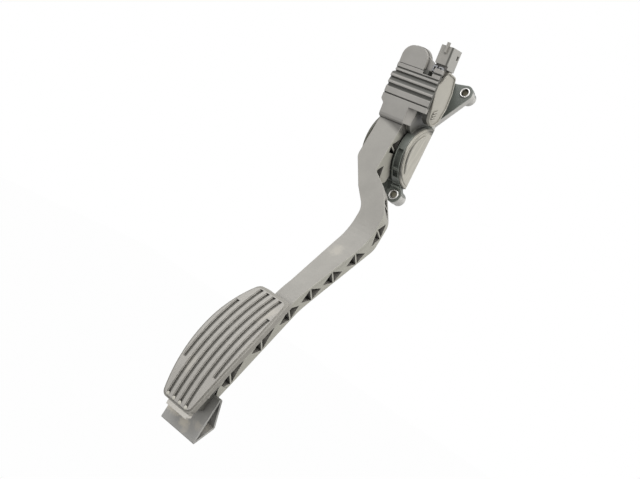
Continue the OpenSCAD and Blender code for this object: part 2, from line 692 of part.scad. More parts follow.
module pedal_arm() {
    color(grey) difference() {
        union() {
            // Front plate
            intersection() {
                from_side(-60, 90) difference() {
                    arm_side_2d();
                    translate([plate_t, 0]) arm_side_2d();
                }
                along_ribs() arm_front_2d(0);
                from_front(-200, 0) translate([-60, tread_top - 12]) square([160, 400]);
            }
            // Shank with its pockets
            difference() {
                intersection() {
                    from_side(-60, 90) arm_side_2d();
                    along_ribs() arm_front_2d(-plate_lip);
                }
                intersection() {
                    from_side(-60, 90) truss_2d();
                    along_ribs() difference() {
                        translate([-60, -480]) square([160, 520]);
                        web_2d();
                    }
                }
            }
            x_rod(hub_r, -arm_w / 2 + 0.1, arm_w / 2 - 0.1, pivot);
            from_side(-lever_half, lever_half) polygon([[pivot[0] - 6, 0], [lever_front, 10],
                [lever_front, spring_z + 10], [pivot[0] - 8, lever_top - 3], [pivot[0] + 3, lever_top],
                [lever_back, spring_z + 6], [lever_back, 10], [pivot[0] + 8, 0]]);
        }
        x_rod(shaft_r + run_gap + hub_bush_t + seat_gap, -50, 50, pivot);
        y_rod(outer_r + outer_wire + 0.6, lever_front - 20, lever_front + pocket_depth, [0, spring_z]);
        x_rod(stem_r + seat_gap, lever_half - 2, lever_half + 5, stem_pos);
        // Room for the tread, where a longer or rounder one reaches the arm
        intersection() {
            tread_shell(tread_curve + 30, tread_curve - tread_t - seat_gap);
            from_front(-230, -60) translate([-60, tread_low - 20]) square([160, tread_len + 20 + seat_gap]);
        }
        // Seat of the friction shoe
        from_side(-5 - seat_gap, 5 + seat_gap) shoe_2d(seat_gap);
    }
}

// Friction shoe seen from the side, grown by e
module shoe_2d(e) {
    intersection() {
        difference() {
            translate(pivot) circle(track_r - free_gap);
            translate(pivot) circle(shoe_in - e);
        }
        translate(pivot) rotate(lean * 0.5) translate([-4 - e, 0]) square([8 + 2 * e, 60]);
    }
}

module friction_shoe() {
    color([0.75, 0.72, 0.6]) from_side(-5, 5) shoe_2d(0);
}

// Outline of the tread from the front, moved inwards by e
function tread_side(e, way) = let (m = tread_top - 41.5, n = 14)
    [for (i = [0 : n]) let (z = tread_low + e + (tread_len - 2 * e) * i / n)
        [tread_x + way * (tread_w / 2 - e - pow(z - m, 2) / (2 * (z > m ? tread_side_up : tread_side_low))), z,
            i == 0 || i == n ? 5 : 0]];
module tread_2d(e) {
    polygon(soft_loop(concat(tread_side(e, 1), reversed(tread_side(e, -1)))));
}

// A shell round the middle of the tread's curve
module tread_shell(outer, inner) {
    from_side(tread_x - 40, tread_x + 40) difference() {
        translate(tread_mid) circle(outer, $fn = 200);
        translate(tread_mid) circle(inner, $fn = 200);
    }
}

module tread_pad() {
    groove_low = tread_low + 4.5;
    groove_top = tread_top - 2.5;
    arm_edge_r = crank_x + arm_low_w / 2 + 1;
    arm_edge_l = crank_x + arm_low_w / 2 - arm_tip_w - 4;
    color(grey) difference() {
        union() {
            intersection() {
                tread_shell(tread_curve, tread_curve - tread_t);
                from_front(-220, -60) tread_2d(1.8);
            }
            // Bevelled edge: a second, slightly lower step round the face
            intersection() {
                tread_shell(tread_curve - 1.2, tread_curve - tread_t);
                from_front(-220, -60) tread_2d(0);
            }
            // Skirt behind the edge, open where the arm passes
            difference() {
                intersection() {
                    tread_shell(tread_curve - tread_t + 0.5, tread_curve - tread_t - 2.2);
                    from_front(-220, -60) difference() {
                        tread_2d(0);
                        tread_2d(1.8);
                    }
                }
                translate([arm_edge_l, -220, tread_low - 5]) cube([arm_edge_r - arm_edge_l, 200, tread_len + 10]);
            }
            // Ledge under the lower edge
            difference() {
                from_side(tread_x - 8, tread_x + 16) intersection() {
                    translate([tread_mid[0] - tread_curve, tread_low - 3.8]) square([5, 5.8]);
                    translate(tread_mid) circle(tread_curve - 1.4, $fn = 200);
                }
                y_rod(1.2, -160, -140, [tread_x + 15.6, tread_low - 3.2]);
            }
            // Gussets between the skirt and the arm
            for (i = [1 : 5]) let (z = tread_low + i * tread_len / 6)
                for (span = [[tread_x - tread_w / 2 + 3.5, arm_edge_l], [arm_edge_r, tread_x + tread_w / 2 - 3.5]])
                    intersection() {
                        translate([span[0], -220, z]) cube([span[1] - span[0], 200, 1.8]);
                        tread_shell(tread_curve - tread_t + 0.5, tread_curve - tread_t - 2.2);
                    }
        }
        for (i = [-2.5 : 2.5]) let (short = abs(i) > 2, low = short ? groove_low + 28.5 : groove_low,
            top = short ? groove_top - 15.5 : groove_top)
            for (cut = [[groove_w, groove_d], [groove_w + 1.6, groove_d * 0.35]])
                intersection() {
                    tread_shell(tread_curve + 5, tread_curve - cut[1]);
                    from_front(-220, -60) {
                        translate([tread_x + i * groove_pitch - cut[0] / 2, low]) square([cut[0], top - low]);
                        translate([tread_x + i * groove_pitch, low]) circle(cut[0] / 2);
                    }
                }
    }
}

// Folded triangular stop under the toe
module heel_stop() {
    section = [[heel_toe[0], heel_toe[1], 1.2], [heel_rear[0], heel_rear[1], 2.2], [heel_top[0], heel_top[1], 1.8]];
    color(grey) from_side(heel_x - heel_w / 2, heel_x + heel_w / 2) difference() {
        polygon(soft_loop(section));
        polygon(soft_loop(inset(section, heel_wall)));
    }
}

// Flanged bush in the hub, on the right for way = 1
module hub_bush(way) {
    end = arm_w / 2 - 0.1;
    color([0.85, 0.83, 0.75]) difference() {
        union() {
            x_rod(shaft_r + run_gap + hub_bush_t, way > 0 ? 3 : -end, way > 0 ? end : -3, pivot);
            x_rod(shaft_r + run_gap + hub_bush_t + 2, way > 0 ? end : -cheek_in + free_gap,
                way > 0 ? cheek_in - free_gap : -end, pivot);
        }
        x_rod(shaft_r + run_gap, -50, 50, pivot);
    }
}

module hub_bush_left() {
    hub_bush(-1);
}

module hub_bush_right() {
    hub_bush(1);
}

// Stem that carries the magnet through the wall of the spring box
module magnet_carrier() {
    color(dark_grey) x_rod(stem_r, lever_half - 2 + seat_gap, sensor_in + floor_t + 0.4, stem_pos);
}

module magnet() {
    color(steel) x_rod(magnet_r, sensor_in + floor_t + 0.4, sensor_in + floor_t + 1.4, stem_pos);
}

housing();
upper_mount_bush();
lower_mount_bush();
side_cover();
front_hood();
sensor_housing();
sensor_cover();
circuit_board();
terminals();
pivot_shaft();
spring_seat();
outer_spring();
inner_spring();
idle_stop();
full_stop();
pedal_arm();
tread_pad();
heel_stop();
hub_bush_left();
hub_bush_right();
friction_shoe();
magnet_carrier();
magnet();
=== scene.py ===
"""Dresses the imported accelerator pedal: materials on every moulding, and the small trim pieces round them.

Laid out as an add-on with one operator for each piece or group of like pieces. It runs as a script.
Lengths in the script are in millimetres, because the drawing is, and become metres in meshes and materials.
Properties, lamps and camera are in metres.
"""
import json
import math

import bmesh
import bpy
import numpy as np
from mathutils import Matrix, Vector


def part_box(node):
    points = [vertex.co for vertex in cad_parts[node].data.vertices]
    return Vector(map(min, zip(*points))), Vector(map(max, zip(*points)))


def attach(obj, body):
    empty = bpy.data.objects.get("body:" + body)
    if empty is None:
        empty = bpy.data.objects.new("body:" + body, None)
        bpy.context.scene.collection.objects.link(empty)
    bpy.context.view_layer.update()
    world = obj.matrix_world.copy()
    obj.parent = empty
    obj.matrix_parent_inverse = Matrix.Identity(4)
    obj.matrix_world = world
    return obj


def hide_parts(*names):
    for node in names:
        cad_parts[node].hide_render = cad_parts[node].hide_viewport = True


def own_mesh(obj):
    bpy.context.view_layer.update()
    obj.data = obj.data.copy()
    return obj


bl_info = {
    "name": "Accelerator Pedal",
    "version": (1, 0, 0),
    "blender": (4, 5, 0),
    "location": "View3D > Sidebar > Pedal",
    "description": "Finishes and trim of a hanging accelerator pedal",
    "category": "Object",
}

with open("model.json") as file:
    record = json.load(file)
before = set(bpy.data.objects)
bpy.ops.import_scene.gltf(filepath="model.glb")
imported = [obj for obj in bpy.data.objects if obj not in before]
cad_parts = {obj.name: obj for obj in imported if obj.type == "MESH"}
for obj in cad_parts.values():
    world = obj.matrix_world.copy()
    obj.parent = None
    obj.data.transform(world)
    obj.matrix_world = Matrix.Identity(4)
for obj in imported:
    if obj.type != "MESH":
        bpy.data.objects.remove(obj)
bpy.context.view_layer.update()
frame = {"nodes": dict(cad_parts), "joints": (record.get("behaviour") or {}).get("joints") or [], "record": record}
HOUSING = "housing_body"
PEDAL = "pedal_body"
MM = 0.001
TO_THE_RIGHT = np.array([1.0, 0.0, 0.0])

# Places on the part. A pair is (y, z), and a height or depth is in the leaning frame.

LEAN = math.radians(16.0)
HEAD_ORIGIN = np.array([0.0, -53.5, 0.0])
PIVOT = np.array(frame["joints"][0]["pos_m"]) / MM
BOSS_R = 9.0
CHEEK_MIDDLE = (-8.0, -21.0)
CHEEK_R = 30.5
FLANGE_TOP = (-16.5, 30.0)
FLANGE_FOOT = (-4.2, -50.0)
SLOT_RIGHT = 13.0
COVER_SHADE_MIDDLE = (-6.8, -18.3)
COVER_RIM_MIDDLE = (-8.6, -17.7)
RIDGES_LOW = 10.95
RIDGES_TOP = 41.85
LATCH_LOW = 42.2
LATCH_TOP = 48.2
SOCKET_FOOT = 47.2
TREAD_X = 28.5
TREAD_MIDDLE = (1.179, -288.428)
TREAD_CURVE = 150.0
TREAD_LOW = TREAD_MIDDLE[1] - 4.0
GROOVE_PITCH = 6.8


def node_box(node):
    """Lowest and highest corner of a CAD node in millimetres."""
    low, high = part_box(node)
    return np.array(low) / MM, np.array(high) / MM


def from_head(points):
    """Turns points of the leaning frame of hood and sensor about X, and moves them into the part's frame."""
    x, y, z = np.moveaxis(np.asarray(points, float), -1, 0)
    cos, sin = math.cos(LEAN), math.sin(LEAN)
    return np.stack([x, y * cos - z * sin, y * sin + z * cos], -1) + HEAD_ORIGIN


# Surfaces: each function gives points in millimetres and the faces between them


def grid_faces(rows, cols, close_rows=False, close_cols=True):
    """Quads between neighbouring rows and columns of a grid, closed round where asked."""
    r = np.arange(rows if close_rows else rows - 1)
    c = np.arange(cols if close_cols else cols - 1)
    i, j = np.meshgrid(r, c, indexing="ij")
    i2, j2 = (i + 1) % rows, (j + 1) % cols
    quads = np.stack([i * cols + j, i * cols + j2, i2 * cols + j2, i2 * cols + j], -1)
    return quads.reshape(-1, 4).tolist()


def end_faces(rows, cols):
    """The first and the last row of a grid as one face each."""
    return [list(range(cols))[::-1], list(range((rows - 1) * cols, rows * cols))]


def swept(path, across, outwards, profile, closed=False):
    """A profile carried along a path: point = path + u * across + v * outwards.

    across and outwards are one vector, or one for each point of the path, and profile lists its (u, v).
    """
    across, outwards = np.broadcast_to(across, path.shape), np.broadcast_to(outwards, path.shape)
    u, v = np.asarray(profile, float).T[:, None, :, None]
    grid = path[:, None] + u * across[:, None] + v * outwards[:, None]
    rows, cols = grid.shape[:2]
    faces = grid_faces(rows, cols, close_rows=closed) + ([] if closed else end_faces(rows, cols))
    return grid.reshape(-1, 3), faces


def plate(corners, steps, axis):
    """A flat outline carried along one axis: at each step (place, share) it has a share of its size."""
    corners, steps = np.asarray(corners, float), np.asarray(steps, float)
    middle = corners.mean(0)
    flat = middle + (corners - middle)[None] * steps[:, 1, None, None]
    grid = np.insert(flat, axis, np.repeat(steps[:, :1], len(corners), 1), axis=2)
    rows, cols = grid.shape[:2]
    return grid.reshape(-1, 3), grid_faces(rows, cols) + end_faces(rows, cols)


def bevelled(low, high, bevel=0.3, share=0.96):
    """Steps of a plate from low to high, drawn in to a share of its size over a bevel at both ends."""
    return [[low, share], [low + bevel, 1.0], [high - bevel, 1.0], [high, share]]


def turned(profile, place, count):
    """A closed profile of (radius, height) turned round a line that points forward from a place.

    point = place - (radius * cos a, height, radius * sin a)
    """
    a = np.linspace(0, 2 * math.pi, count, endpoint=False)[:, None]
    radius, height = np.asarray(profile, float).T
    grid = place - np.stack([radius * np.cos(a), height + 0 * a, radius * np.sin(a)], -1)
    return grid.reshape(-1, 3), grid_faces(count, len(radius), close_rows=True)


def half_round(width, height, count=8, sink=0.3):
    """Outline of a bead: a half ellipse, with its foot sunk into the surface that it lies on."""
    t = np.linspace(0, math.pi, count)
    arc = np.stack([np.cos(t) * width / 2, np.sin(t) * height], 1)
    return np.concatenate([[[width / 2, -sink]], arc, [[-width / 2, -sink]]])


def radial(angles):
    """Unit directions in the side view: (0, cos a, sin a)."""
    return np.stack([0 * angles, np.cos(angles), np.sin(angles)], 1)


def unit(vectors):
    """Vectors of length 1."""
    return vectors / np.linalg.norm(vectors, axis=1)[:, None]


def rounded_loop(corners, radii, inset, count=8):
    """Points and outward normals of an anticlockwise loop moved inwards, with an arc at each corner.

    Each arc starts and ends where its circle touches the two sides, and its radius shrinks by the inset.
    """
    before, after = unit(np.roll(corners, 1, 0) - corners), unit(np.roll(corners, -1, 0) - corners)
    half = np.arccos(np.clip((before * after).sum(1), -1, 1)) / 2
    inward = unit(before + after)
    middle = corners + inward * (radii / np.sin(half))[:, None]
    start, end = np.stack([before[:, 1], -before[:, 0]], 1), np.stack([-after[:, 1], after[:, 0]], 1)
    start *= np.sign(-(start * inward).sum(1))[:, None]
    end *= np.sign(-(end * inward).sum(1))[:, None]
    first = np.arctan2(start[:, 1], start[:, 0])
    turn = (np.arctan2(end[:, 1], end[:, 0]) - first + math.pi) % (2 * math.pi) - math.pi
    a = first[:, None] + turn[:, None] * np.linspace(0, 1, count)
    normals = np.stack([np.cos(a), np.sin(a)], -1)
    points = middle[:, None] + normals * (radii - inset)[:, None, None]
    return points.reshape(-1, 2), normals.reshape(-1, 2)


def joined(surfaces):
    """Several surfaces as one."""
    points, faces, first = [], [], 0
    for more_points, more_faces in surfaces:
        points.append(more_points)
        faces += [[corner + first for corner in face] for face in more_faces]
        first += len(more_points)
    return np.concatenate(points), faces


def put(name, surface, slot, body=HOUSING, smooth=True):
    """Makes a piece from a surface, with its faces outwards, in a slot's finish. It rides on a body."""
    points, faces = surface
    mesh = bpy.data.meshes.new(name)
    mesh.from_pydata((points * MM).tolist(), [], faces)
    mesh.validate()
    shell = bmesh.new()
    shell.from_mesh(mesh)
    bmesh.ops.recalc_face_normals(shell, faces=shell.faces)
    shell.to_mesh(mesh)
    shell.free()
    mesh.polygons.foreach_set("use_smooth", np.full(len(mesh.polygons), smooth))
    mesh.update()
    mesh.materials.append(FINISHES[slot])
    piece = bpy.data.objects.new(name, mesh)
    bpy.context.scene.collection.objects.link(piece)
    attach(piece, body)
    return piece


# Nodes


class Tree:
    """Fills a node tree step by step."""

    def __init__(self, tree, output):
        self.tree = tree
        self.tree.nodes.clear()
        self.output = self.node(output)

    def node(self, kind, inputs=None, **settings):
        """A node with its settings, and its inputs linked or set."""
        made = self.tree.nodes.new(kind)
        for key, value in settings.items():
            setattr(made, key, value)
        for key, value in (inputs or {}).items():
            socket = made.inputs[key]
            if isinstance(value, bpy.types.NodeSocket):
                self.tree.links.new(value, socket)
            else:
                socket.default_value = value
        return made

    def calc(self, operation, a, b=0.0, clamp=False):
        """One step of arithmetic."""
        return self.node("ShaderNodeMath", {0: a, 1: b}, operation=operation, use_clamp=clamp).outputs[0]

    def times(self, first, *others, clamp=False):
        """Product of values."""
        for other in others:
            first = self.calc("MULTIPLY", first, other, clamp)
        return first

    def surface(self, shader):
        """Ends the tree with a shader."""
        self.tree.links.new(shader.outputs[0], self.output.inputs["Surface"])

    def seen(self, *kinds):
        """1 for rays of the given kinds."""
        rays = self.node("ShaderNodeLightPath").outputs
        found = rays[kinds[0]]
        for kind in kinds[1:]:
            found = self.calc("MAXIMUM", found, rays[kind])
        return found


class Shade(Tree):
    """Builds a material in the coordinates of the part."""

    def __init__(self, name):
        self.material = bpy.data.materials.new(name)
        self.material.use_nodes = True
        super().__init__(self.material.node_tree, "ShaderNodeOutputMaterial")
        here = self.node("ShaderNodeTexCoord").outputs
        self.place, self.normal = here["Object"], here["Normal"]

    def axis(self, name):
        """One coordinate of the place, in metres."""
        return self.node("ShaderNodeSeparateXYZ", {0: self.place}).outputs[name]

    def facing(self, name):
        """One coordinate of the normal."""
        return self.node("ShaderNodeSeparateXYZ", {0: self.normal}).outputs[name]

    def dot(self, vector, direction):
        """How far a vector goes along a direction."""
        inputs = {0: vector, 1: direction}
        return self.node("ShaderNodeVectorMath", inputs, operation="DOT_PRODUCT").outputs["Value"]

    def length(self, vector):
        """Length of a vector."""
        return self.node("ShaderNodeVectorMath", {0: vector}, operation="LENGTH").outputs["Value"]

    def stretch(self, scale, turn=(0.0, 0.0, 0.0), shift=(0.0, 0.0, 0.0)):
        """The place scaled, turned and shifted."""
        inputs = {"Vector": self.place, "Scale": scale, "Rotation": turn, "Location": shift}
        return self.node("ShaderNodeMapping", inputs).outputs[0]

    def away_from(self, y, z):
        """Distance in metres from the line across the part through y and z in millimetres."""
        return self.length(self.stretch((0.0, 1.0, 1.0), shift=(0.0, -y * MM, -z * MM)))

    def noise(self, scale, detail=2.0, rough=0.5, place=None):
        """Even cloud of a number of waves per metre."""
        inputs = {"Vector": place or self.place, "Scale": scale, "Detail": detail, "Roughness": rough}
        return self.node("ShaderNodeTexNoise", inputs).outputs["Fac"]

    def span(self, value, low, high, to_low=0.0, to_high=1.0):
        """Runs from to_low to to_high as the value runs from low to high, and stays level outside."""
        return self.node("ShaderNodeMapRange", {0: value, 1: low, 2: high, 3: to_low, 4: to_high}).outputs[0]

    def above(self, value, edge, fade=0.4):
        """1 above an edge in millimetres and 0 below it, with a fade. The value may be an axis's letter."""
        value = self.axis(value) if isinstance(value, str) else value
        return self.span(value, (edge - fade / 2) * MM, (edge + fade / 2) * MM)

    def below(self, value, edge, fade=0.4):
        """1 below an edge and 0 above it."""
        return self.above(value, edge, -fade)

    def mix(self, share, a, b):
        """Colour a with a share of colour b over it."""
        return self.node("ShaderNodeMix", {0: share, 6: a, 7: b}, data_type="RGBA").outputs[2]

    def edge(self, radius):
        """Rounded normal, and how far it departs from the flat one: 0 on faces, up to 1 on sharp edges."""
        soft = self.node("ShaderNodeBevel", {"Radius": radius}, samples=8).outputs[0]
        flat = self.node("ShaderNodeNewGeometry").outputs["Normal"]
        return soft, self.span(self.dot(soft, flat), 0.995, 0.80)

    def pockets(self, reach):
        """0 in the open and up to 1 in pockets that are narrower than the reach."""
        open_share = self.node("ShaderNodeAmbientOcclusion", {"Distance": reach}, samples=8).outputs["AO"]
        return self.calc("SUBTRACT", 1.0, open_share, clamp=True)

    def bump(self, height, strength, depth, normal):
        """Normal roughened by a height pattern."""
        inputs = {"Strength": strength, "Distance": depth, "Height": height, "Normal": normal}
        return self.node("ShaderNodeBump", inputs).outputs[0]

    def finish(self, colour, roughness, normal, metallic=0.0, specular=0.5, coat=0.0):
        """The finished material."""
        inputs = {"Base Color": colour, "Roughness": roughness, "Normal": normal}
        shader = self.node("ShaderNodeBsdfPrincipled", inputs)
        shader.inputs["Metallic"].default_value = metallic
        shader.inputs["Specular IOR Level"].default_value = specular
        shader.inputs["Coat Weight"].default_value = coat
        self.surface(shader)
        return self.material


def shade_of(colour, factor=1.0):
    """A colour made lighter or darker by a factor."""
    return tuple(min(1.0, part * factor) for part in colour) + (1.0,)


# Zones: each gives the share, by the place on the part, in which another colour lies over a finish


def lean_height(s):
    """Height in metres along the lean of the hood, from the pivot's level at the hood's front."""
    up = (0.0, -math.sin(LEAN), math.cos(LEAN))
    return s.calc("ADD", s.dot(s.place, up), math.sin(LEAN) * HEAD_ORIGIN[1] * MM)


def lean_depth(s):
    """Depth in metres behind the hood's leaning front."""
    back = (0.0, math.cos(LEAN), math.sin(LEAN))
    return s.calc("SUBTRACT", s.dot(s.place, back), math.cos(LEAN) * HEAD_ORIGIN[1] * MM)


def pivot_boss_zone(s):
    """The boss at the right end of the pivot shaft: near the pivot's axis and right of the arm."""
    return s.times(s.below(s.away_from(*PIVOT[1:]), BOSS_R), s.above("X", SLOT_RIGHT))


def boss_shade_zone(s):
    """Painted shade on the pivot's boss, towards the hood above it and the sensor behind it."""
    near = s.calc("MAXIMUM", s.above("Y", -47.0, fade=14.0), s.above("Z", 2.0, fade=6.0))
    right = s.above("X", SLOT_RIGHT + 0.1, fade=0.6)
    return s.times(near, right, s.above("Z", -9.5, fade=2.0), s.below("Y", -17.0, fade=2.0), 0.85)


def cheek_front_zone(s):
    """The front of the left cheek, which the arm and the hood keep in the dark."""
    left = s.below("X", -SLOT_RIGHT - 0.3, fade=0.6)
    return s.times(left, s.above("Z", -52.0, fade=4.0), s.below("Y", -29.0, fade=8.0), 0.7)


def lug_wall_sheen_zone(s):
    """Painted sheen on the walls of the flange and its lugs that face right and down, behind the front face."""
    right_and_down = s.dot(s.normal, (0.7, 0.0, -0.714))
    return s.times(s.span(right_and_down, 0.25, 0.45), s.above("Y", -12.6), s.above("X", 17.0, fade=1.0))


def cover_shade_zone(s):
    """A crescent inside the raised arc of the D-shaped cover, where its shade falls."""
    away = s.away_from(*COVER_SHADE_MIDDLE)
    crescent = s.times(s.below(away, 26.6), s.above(away, 24.0, fade=2.0), s.below("Y", -19.5, fade=3.0))
    return s.times(crescent, s.above("Z", -39.0, fade=4.0), s.below("Z", -15.5, fade=21.0))


def cover_top_shade_zone(s):
    """Painted shade on the top of the D-shaped cover, below the sensor."""
    return s.times(s.above("Z", 2.6, fade=2.8), s.below("X", 23.0), 0.85)


def cover_rim_zone(s):
    """The lower left rim of the D-shaped cover, which is as dark as the drum round it."""
    rim = s.times(s.above(s.away_from(*COVER_RIM_MIDDLE), 29.7, fade=0.6), s.below("X", 23.8))
    return s.times(rim, s.above("Z", -46.5, fade=5.0), s.below("Y", -18.0, fade=4.0))


def hood_groove_shade_zone(s):
    """Painted shade in the grooves and on the slopes between the hood's ridges, by the depth behind its front."""
    height = lean_height(s)
    ridged = s.times(s.above(height, RIDGES_LOW, fade=0.3), s.below(height, RIDGES_TOP, fade=0.3))
    return s.times(ridged, s.above(lean_depth(s), 0.375, fade=0.45))


def below_socket_shade_zone(s):
    """Painted shade on the sensor housing below the foot of its socket."""
    return s.below(lean_height(s), 41.5, fade=1.0)


def latch_zone(s):
    """The two bright clips in front of the socket's foot."""
    height = lean_height(s)
    high = s.times(s.above(height, LATCH_LOW), s.below(height, LATCH_TOP))
    return s.times(high, s.below(lean_depth(s), 6.0))


def socket_edge_zone(s):
    """A narrow strip along the right edge of the socket's front face."""
    strip = s.times(s.above("X", 28.8, fade=0.8), s.below(lean_depth(s), 4.3, fade=0.6))
    return s.times(strip, s.above(lean_height(s), SOCKET_FOOT))


def socket_lit_side_zone(s):
    """Painted light on the right side of the connector socket."""
    side = s.times(s.above("X", 30.35, fade=0.1), s.above(lean_depth(s), 3.8, fade=0.8))
    return s.times(side, s.above(lean_height(s), SOCKET_FOOT))


def arm_lit_side_zone(s):
    """Painted light on the arm's right sides, which are lighter than its front."""
    return s.span(s.facing("X"), 0.80, 0.95)


def arm_foot_shade_zone(s):
    """Painted shade on the arm's foot in front of the heel stop, under the tread."""
    return s.times(s.below("Z", -267.0, fade=3.0), s.below("Y", -127.5, fade=1.0))


def hood_shadow_on_arm_zone(s):
    """Painted shadow of the hood on the arm's end under it, lower on the right than on the left."""
    slant = s.calc("ADD", s.axis("Z"), s.times(s.axis("X"), 0.35))
    return s.above(slant, -11.25, fade=4.5)


def tread_border_zone(s):
    """The bevelled border of the tread and all that lies under its face."""
    under = s.below(s.away_from(*TREAD_MIDDLE), TREAD_CURVE - 0.9)
    return s.times(under, s.above("Z", TREAD_LOW - 0.1, fade=0.6))


def tread_groove_zone(s):
    """The tread's grooves, by the place across, the depth under the tread's curve, and each groove's length.

    The place across is counted in pitches from the tread's middle. Whole pitches keep its fraction positive.
    The outer grooves start higher and end lower than the long ones between them.
    """
    whole, line_half, line_fade = 20.0, 0.225, 0.09
    last, long_ones = 2.95, 2.0
    low, top, later, sooner = 3.4, 102.5, 28.5, 15.5
    across = s.calc("DIVIDE", s.calc("SUBTRACT", s.axis("X"), TREAD_X * MM), GROOVE_PITCH * MM)
    off = s.calc("SUBTRACT", s.calc("FRACT", s.calc("ADD", across, whole)), 0.5)
    line = s.span(s.calc("ABSOLUTE", off), line_half + line_fade / 2, line_half - line_fade / 2)
    side = s.calc("ABSOLUTE", across)
    deep = s.below(s.away_from(*TREAD_MIDDLE), TREAD_CURVE - 0.55, fade=0.9)
    outer = s.calc("GREATER_THAN", side, long_ones)
    start = s.calc("ADD", s.times(outer, later * MM), (TREAD_LOW + low) * MM)
    end = s.calc("ADD", s.times(outer, -sooner * MM), (TREAD_LOW + top) * MM)
    inside = s.times(s.calc("GREATER_THAN", s.axis("Z"), start), s.calc("LESS_THAN", s.axis("Z"), end))
    return s.times(line, s.span(side, last + 0.05, last - 0.05), deep, inside)


def tread_ledge_light_zone(s):
    """Painted light on the ledge that hangs below the tread."""
    return s.below("Z", TREAD_LOW - 0.15, fade=0.5)


def heel_top_zone(s):
    """The upper edge of the heel stop, where the tread and the arm keep the light off."""
    return s.times(s.above("Z", -282.0, fade=16.0), s.above("X", 31.0, fade=14.0), 0.62)


# Light marks, middle and half size in millimetres, and share: wear on the arm and tread, painted light on the heel

MARK_COLOUR = (0.62, 0.58, 0.50)
ARM_MARKS = (
    ((28.8, -63.1, -131.8), (6.0, 10.0, 8.0), 0.4),
)
TREAD_MARKS = (
    ((42.0, -120.0, -200.0), (5.0, 10.0, 7.0), 0.4),
    ((40.5, -125.0, -207.0), (4.0, 8.0, 6.0), 0.3),
    ((20.0, -146.0, -262.0), (4.0, 8.0, 12.0), 0.35),
)
# Painted light: bright patches on the heel stop below the tread's ledge.
HEEL_PAINTED_LIGHT = (
    ((16.0, -130.0, -300.0), (14.0, 30.0, 6.0), 1.0),
    ((31.0, -130.0, -303.0), (6.0, 30.0, 5.0), 1.0),
    ((35.0, -130.0, -307.0), (4.0, 30.0, 6.0), 0.5),
    ((44.0, -130.0, -299.0), (6.0, 30.0, 4.0), 0.5),
)


def mark_zone(s, middle, size, share):
    """One light mark: an oval with a ragged edge."""
    scale = tuple(1.0 / (part * MM) for part in size)
    oval = s.length(s.stretch(scale, shift=tuple(-at / part for at, part in zip(middle, size))))
    uneven = s.times(s.calc("SUBTRACT", s.noise(260.0, detail=4.0, rough=0.7), 0.5), 1.6)
    return s.times(s.span(s.calc("ADD", oval, uneven), 1.0, 0.35), share)


def streak_zone(s, share):
    """Fine lines along the moulding, up to a little above the pivot's level."""
    lines = s.noise(1.0, detail=3.0, rough=0.6, place=s.stretch((420.0, 420.0, 45.0), turn=(0.35, 0.0, 0.0)))
    return s.times(s.span(lines, 0.40, 0.62), s.below("Z", 6.0, fade=4.0), share)


# Finishes


def moulded(name, colour, look, roughness=0.5, grain=1.0, wear_and_highlight=1.0, dirt_and_shade=1.0, marks=(), zones=(), glint=1.55,
            under=0.72, rounding=1.0, streak=0.0):
    """Grained moulding with mottled colour, worn edges with painted highlights, dirt and painted shade in pockets,
    and painted shade on undersides.

    zones are pairs of a zone and its colour. glint is the factor of the colour on edges that are worn and painted
    as highlights, under the factor of the painted shade on undersides, rounding is the factor of the edges'
    radius, and streak is the share of the fine lines.
    """
    s = Shade(name)
    soft, edge = s.edge(look.edge_round * rounding)
    mottle = s.noise(55.0, detail=3.0, rough=0.6)
    fine = s.noise(1.0 / look.grain_size, rough=0.7)
    base = s.mix(s.span(mottle, 0.32, 0.68), shade_of(colour, 0.94), shade_of(colour, 1.06))
    base = s.mix(s.times(s.span(fine, 0.35, 0.65), 0.25), base, shade_of(colour, 0.84))
    if streak:
        base = s.mix(streak_zone(s, streak), base, shade_of(colour, 1.35))
    for zone, zone_colour in zones:
        base = s.mix(zone(s), base, shade_of(zone_colour))
    for mark in marks:
        base = s.mix(mark_zone(s, *mark), base, shade_of(MARK_COLOUR))
    # Painted shade: faces that look down take the factor under.
    dim = (under, under, under, 1.0)
    shaded = s.node("ShaderNodeMixRGB", {0: 1.0, 1: base, 2: dim}, blend_type="MULTIPLY")
    base = s.mix(s.span(s.facing("Z"), -0.10, -0.55), base, shaded.outputs[0])
    # Edges lighter by the factor glint: wear, and also painted highlights.
    worn_and_highlit = s.times(edge, s.span(s.noise(170.0, detail=3.0, rough=0.65), 0.30, 0.62))
    base = s.mix(s.times(worn_and_highlit, 0.6 * wear_and_highlight * look.wear_and_highlight, clamp=True), base, shade_of(colour, glint))
    # Pockets found by ambient occlusion are darker: dirt and painted shade.
    pocket_dirt_and_shade = s.times(s.calc("POWER", s.pockets(look.dirt_and_shade_reach), 1.1), s.span(mottle, 0.2, 0.8, 0.8, 1.0))
    base = s.mix(s.times(pocket_dirt_and_shade, dirt_and_shade * look.dirt_and_shade, clamp=True), base, shade_of(colour, 0.10))
    blend = s.calc("ADD", s.times(mottle, 0.5), s.times(fine, 0.5))
    rough = s.span(blend, 0.3, 0.7, roughness - 0.07, roughness + 0.10)
    rough = s.calc("SUBTRACT", rough, s.times(worn_and_highlit, 0.08))
    height = s.calc("ADD", s.times(fine, grain), s.times(s.noise(120.0), 0.5))
    return s.finish(base, rough, s.bump(height, 0.35, look.grain_depth, soft), specular=0.45)


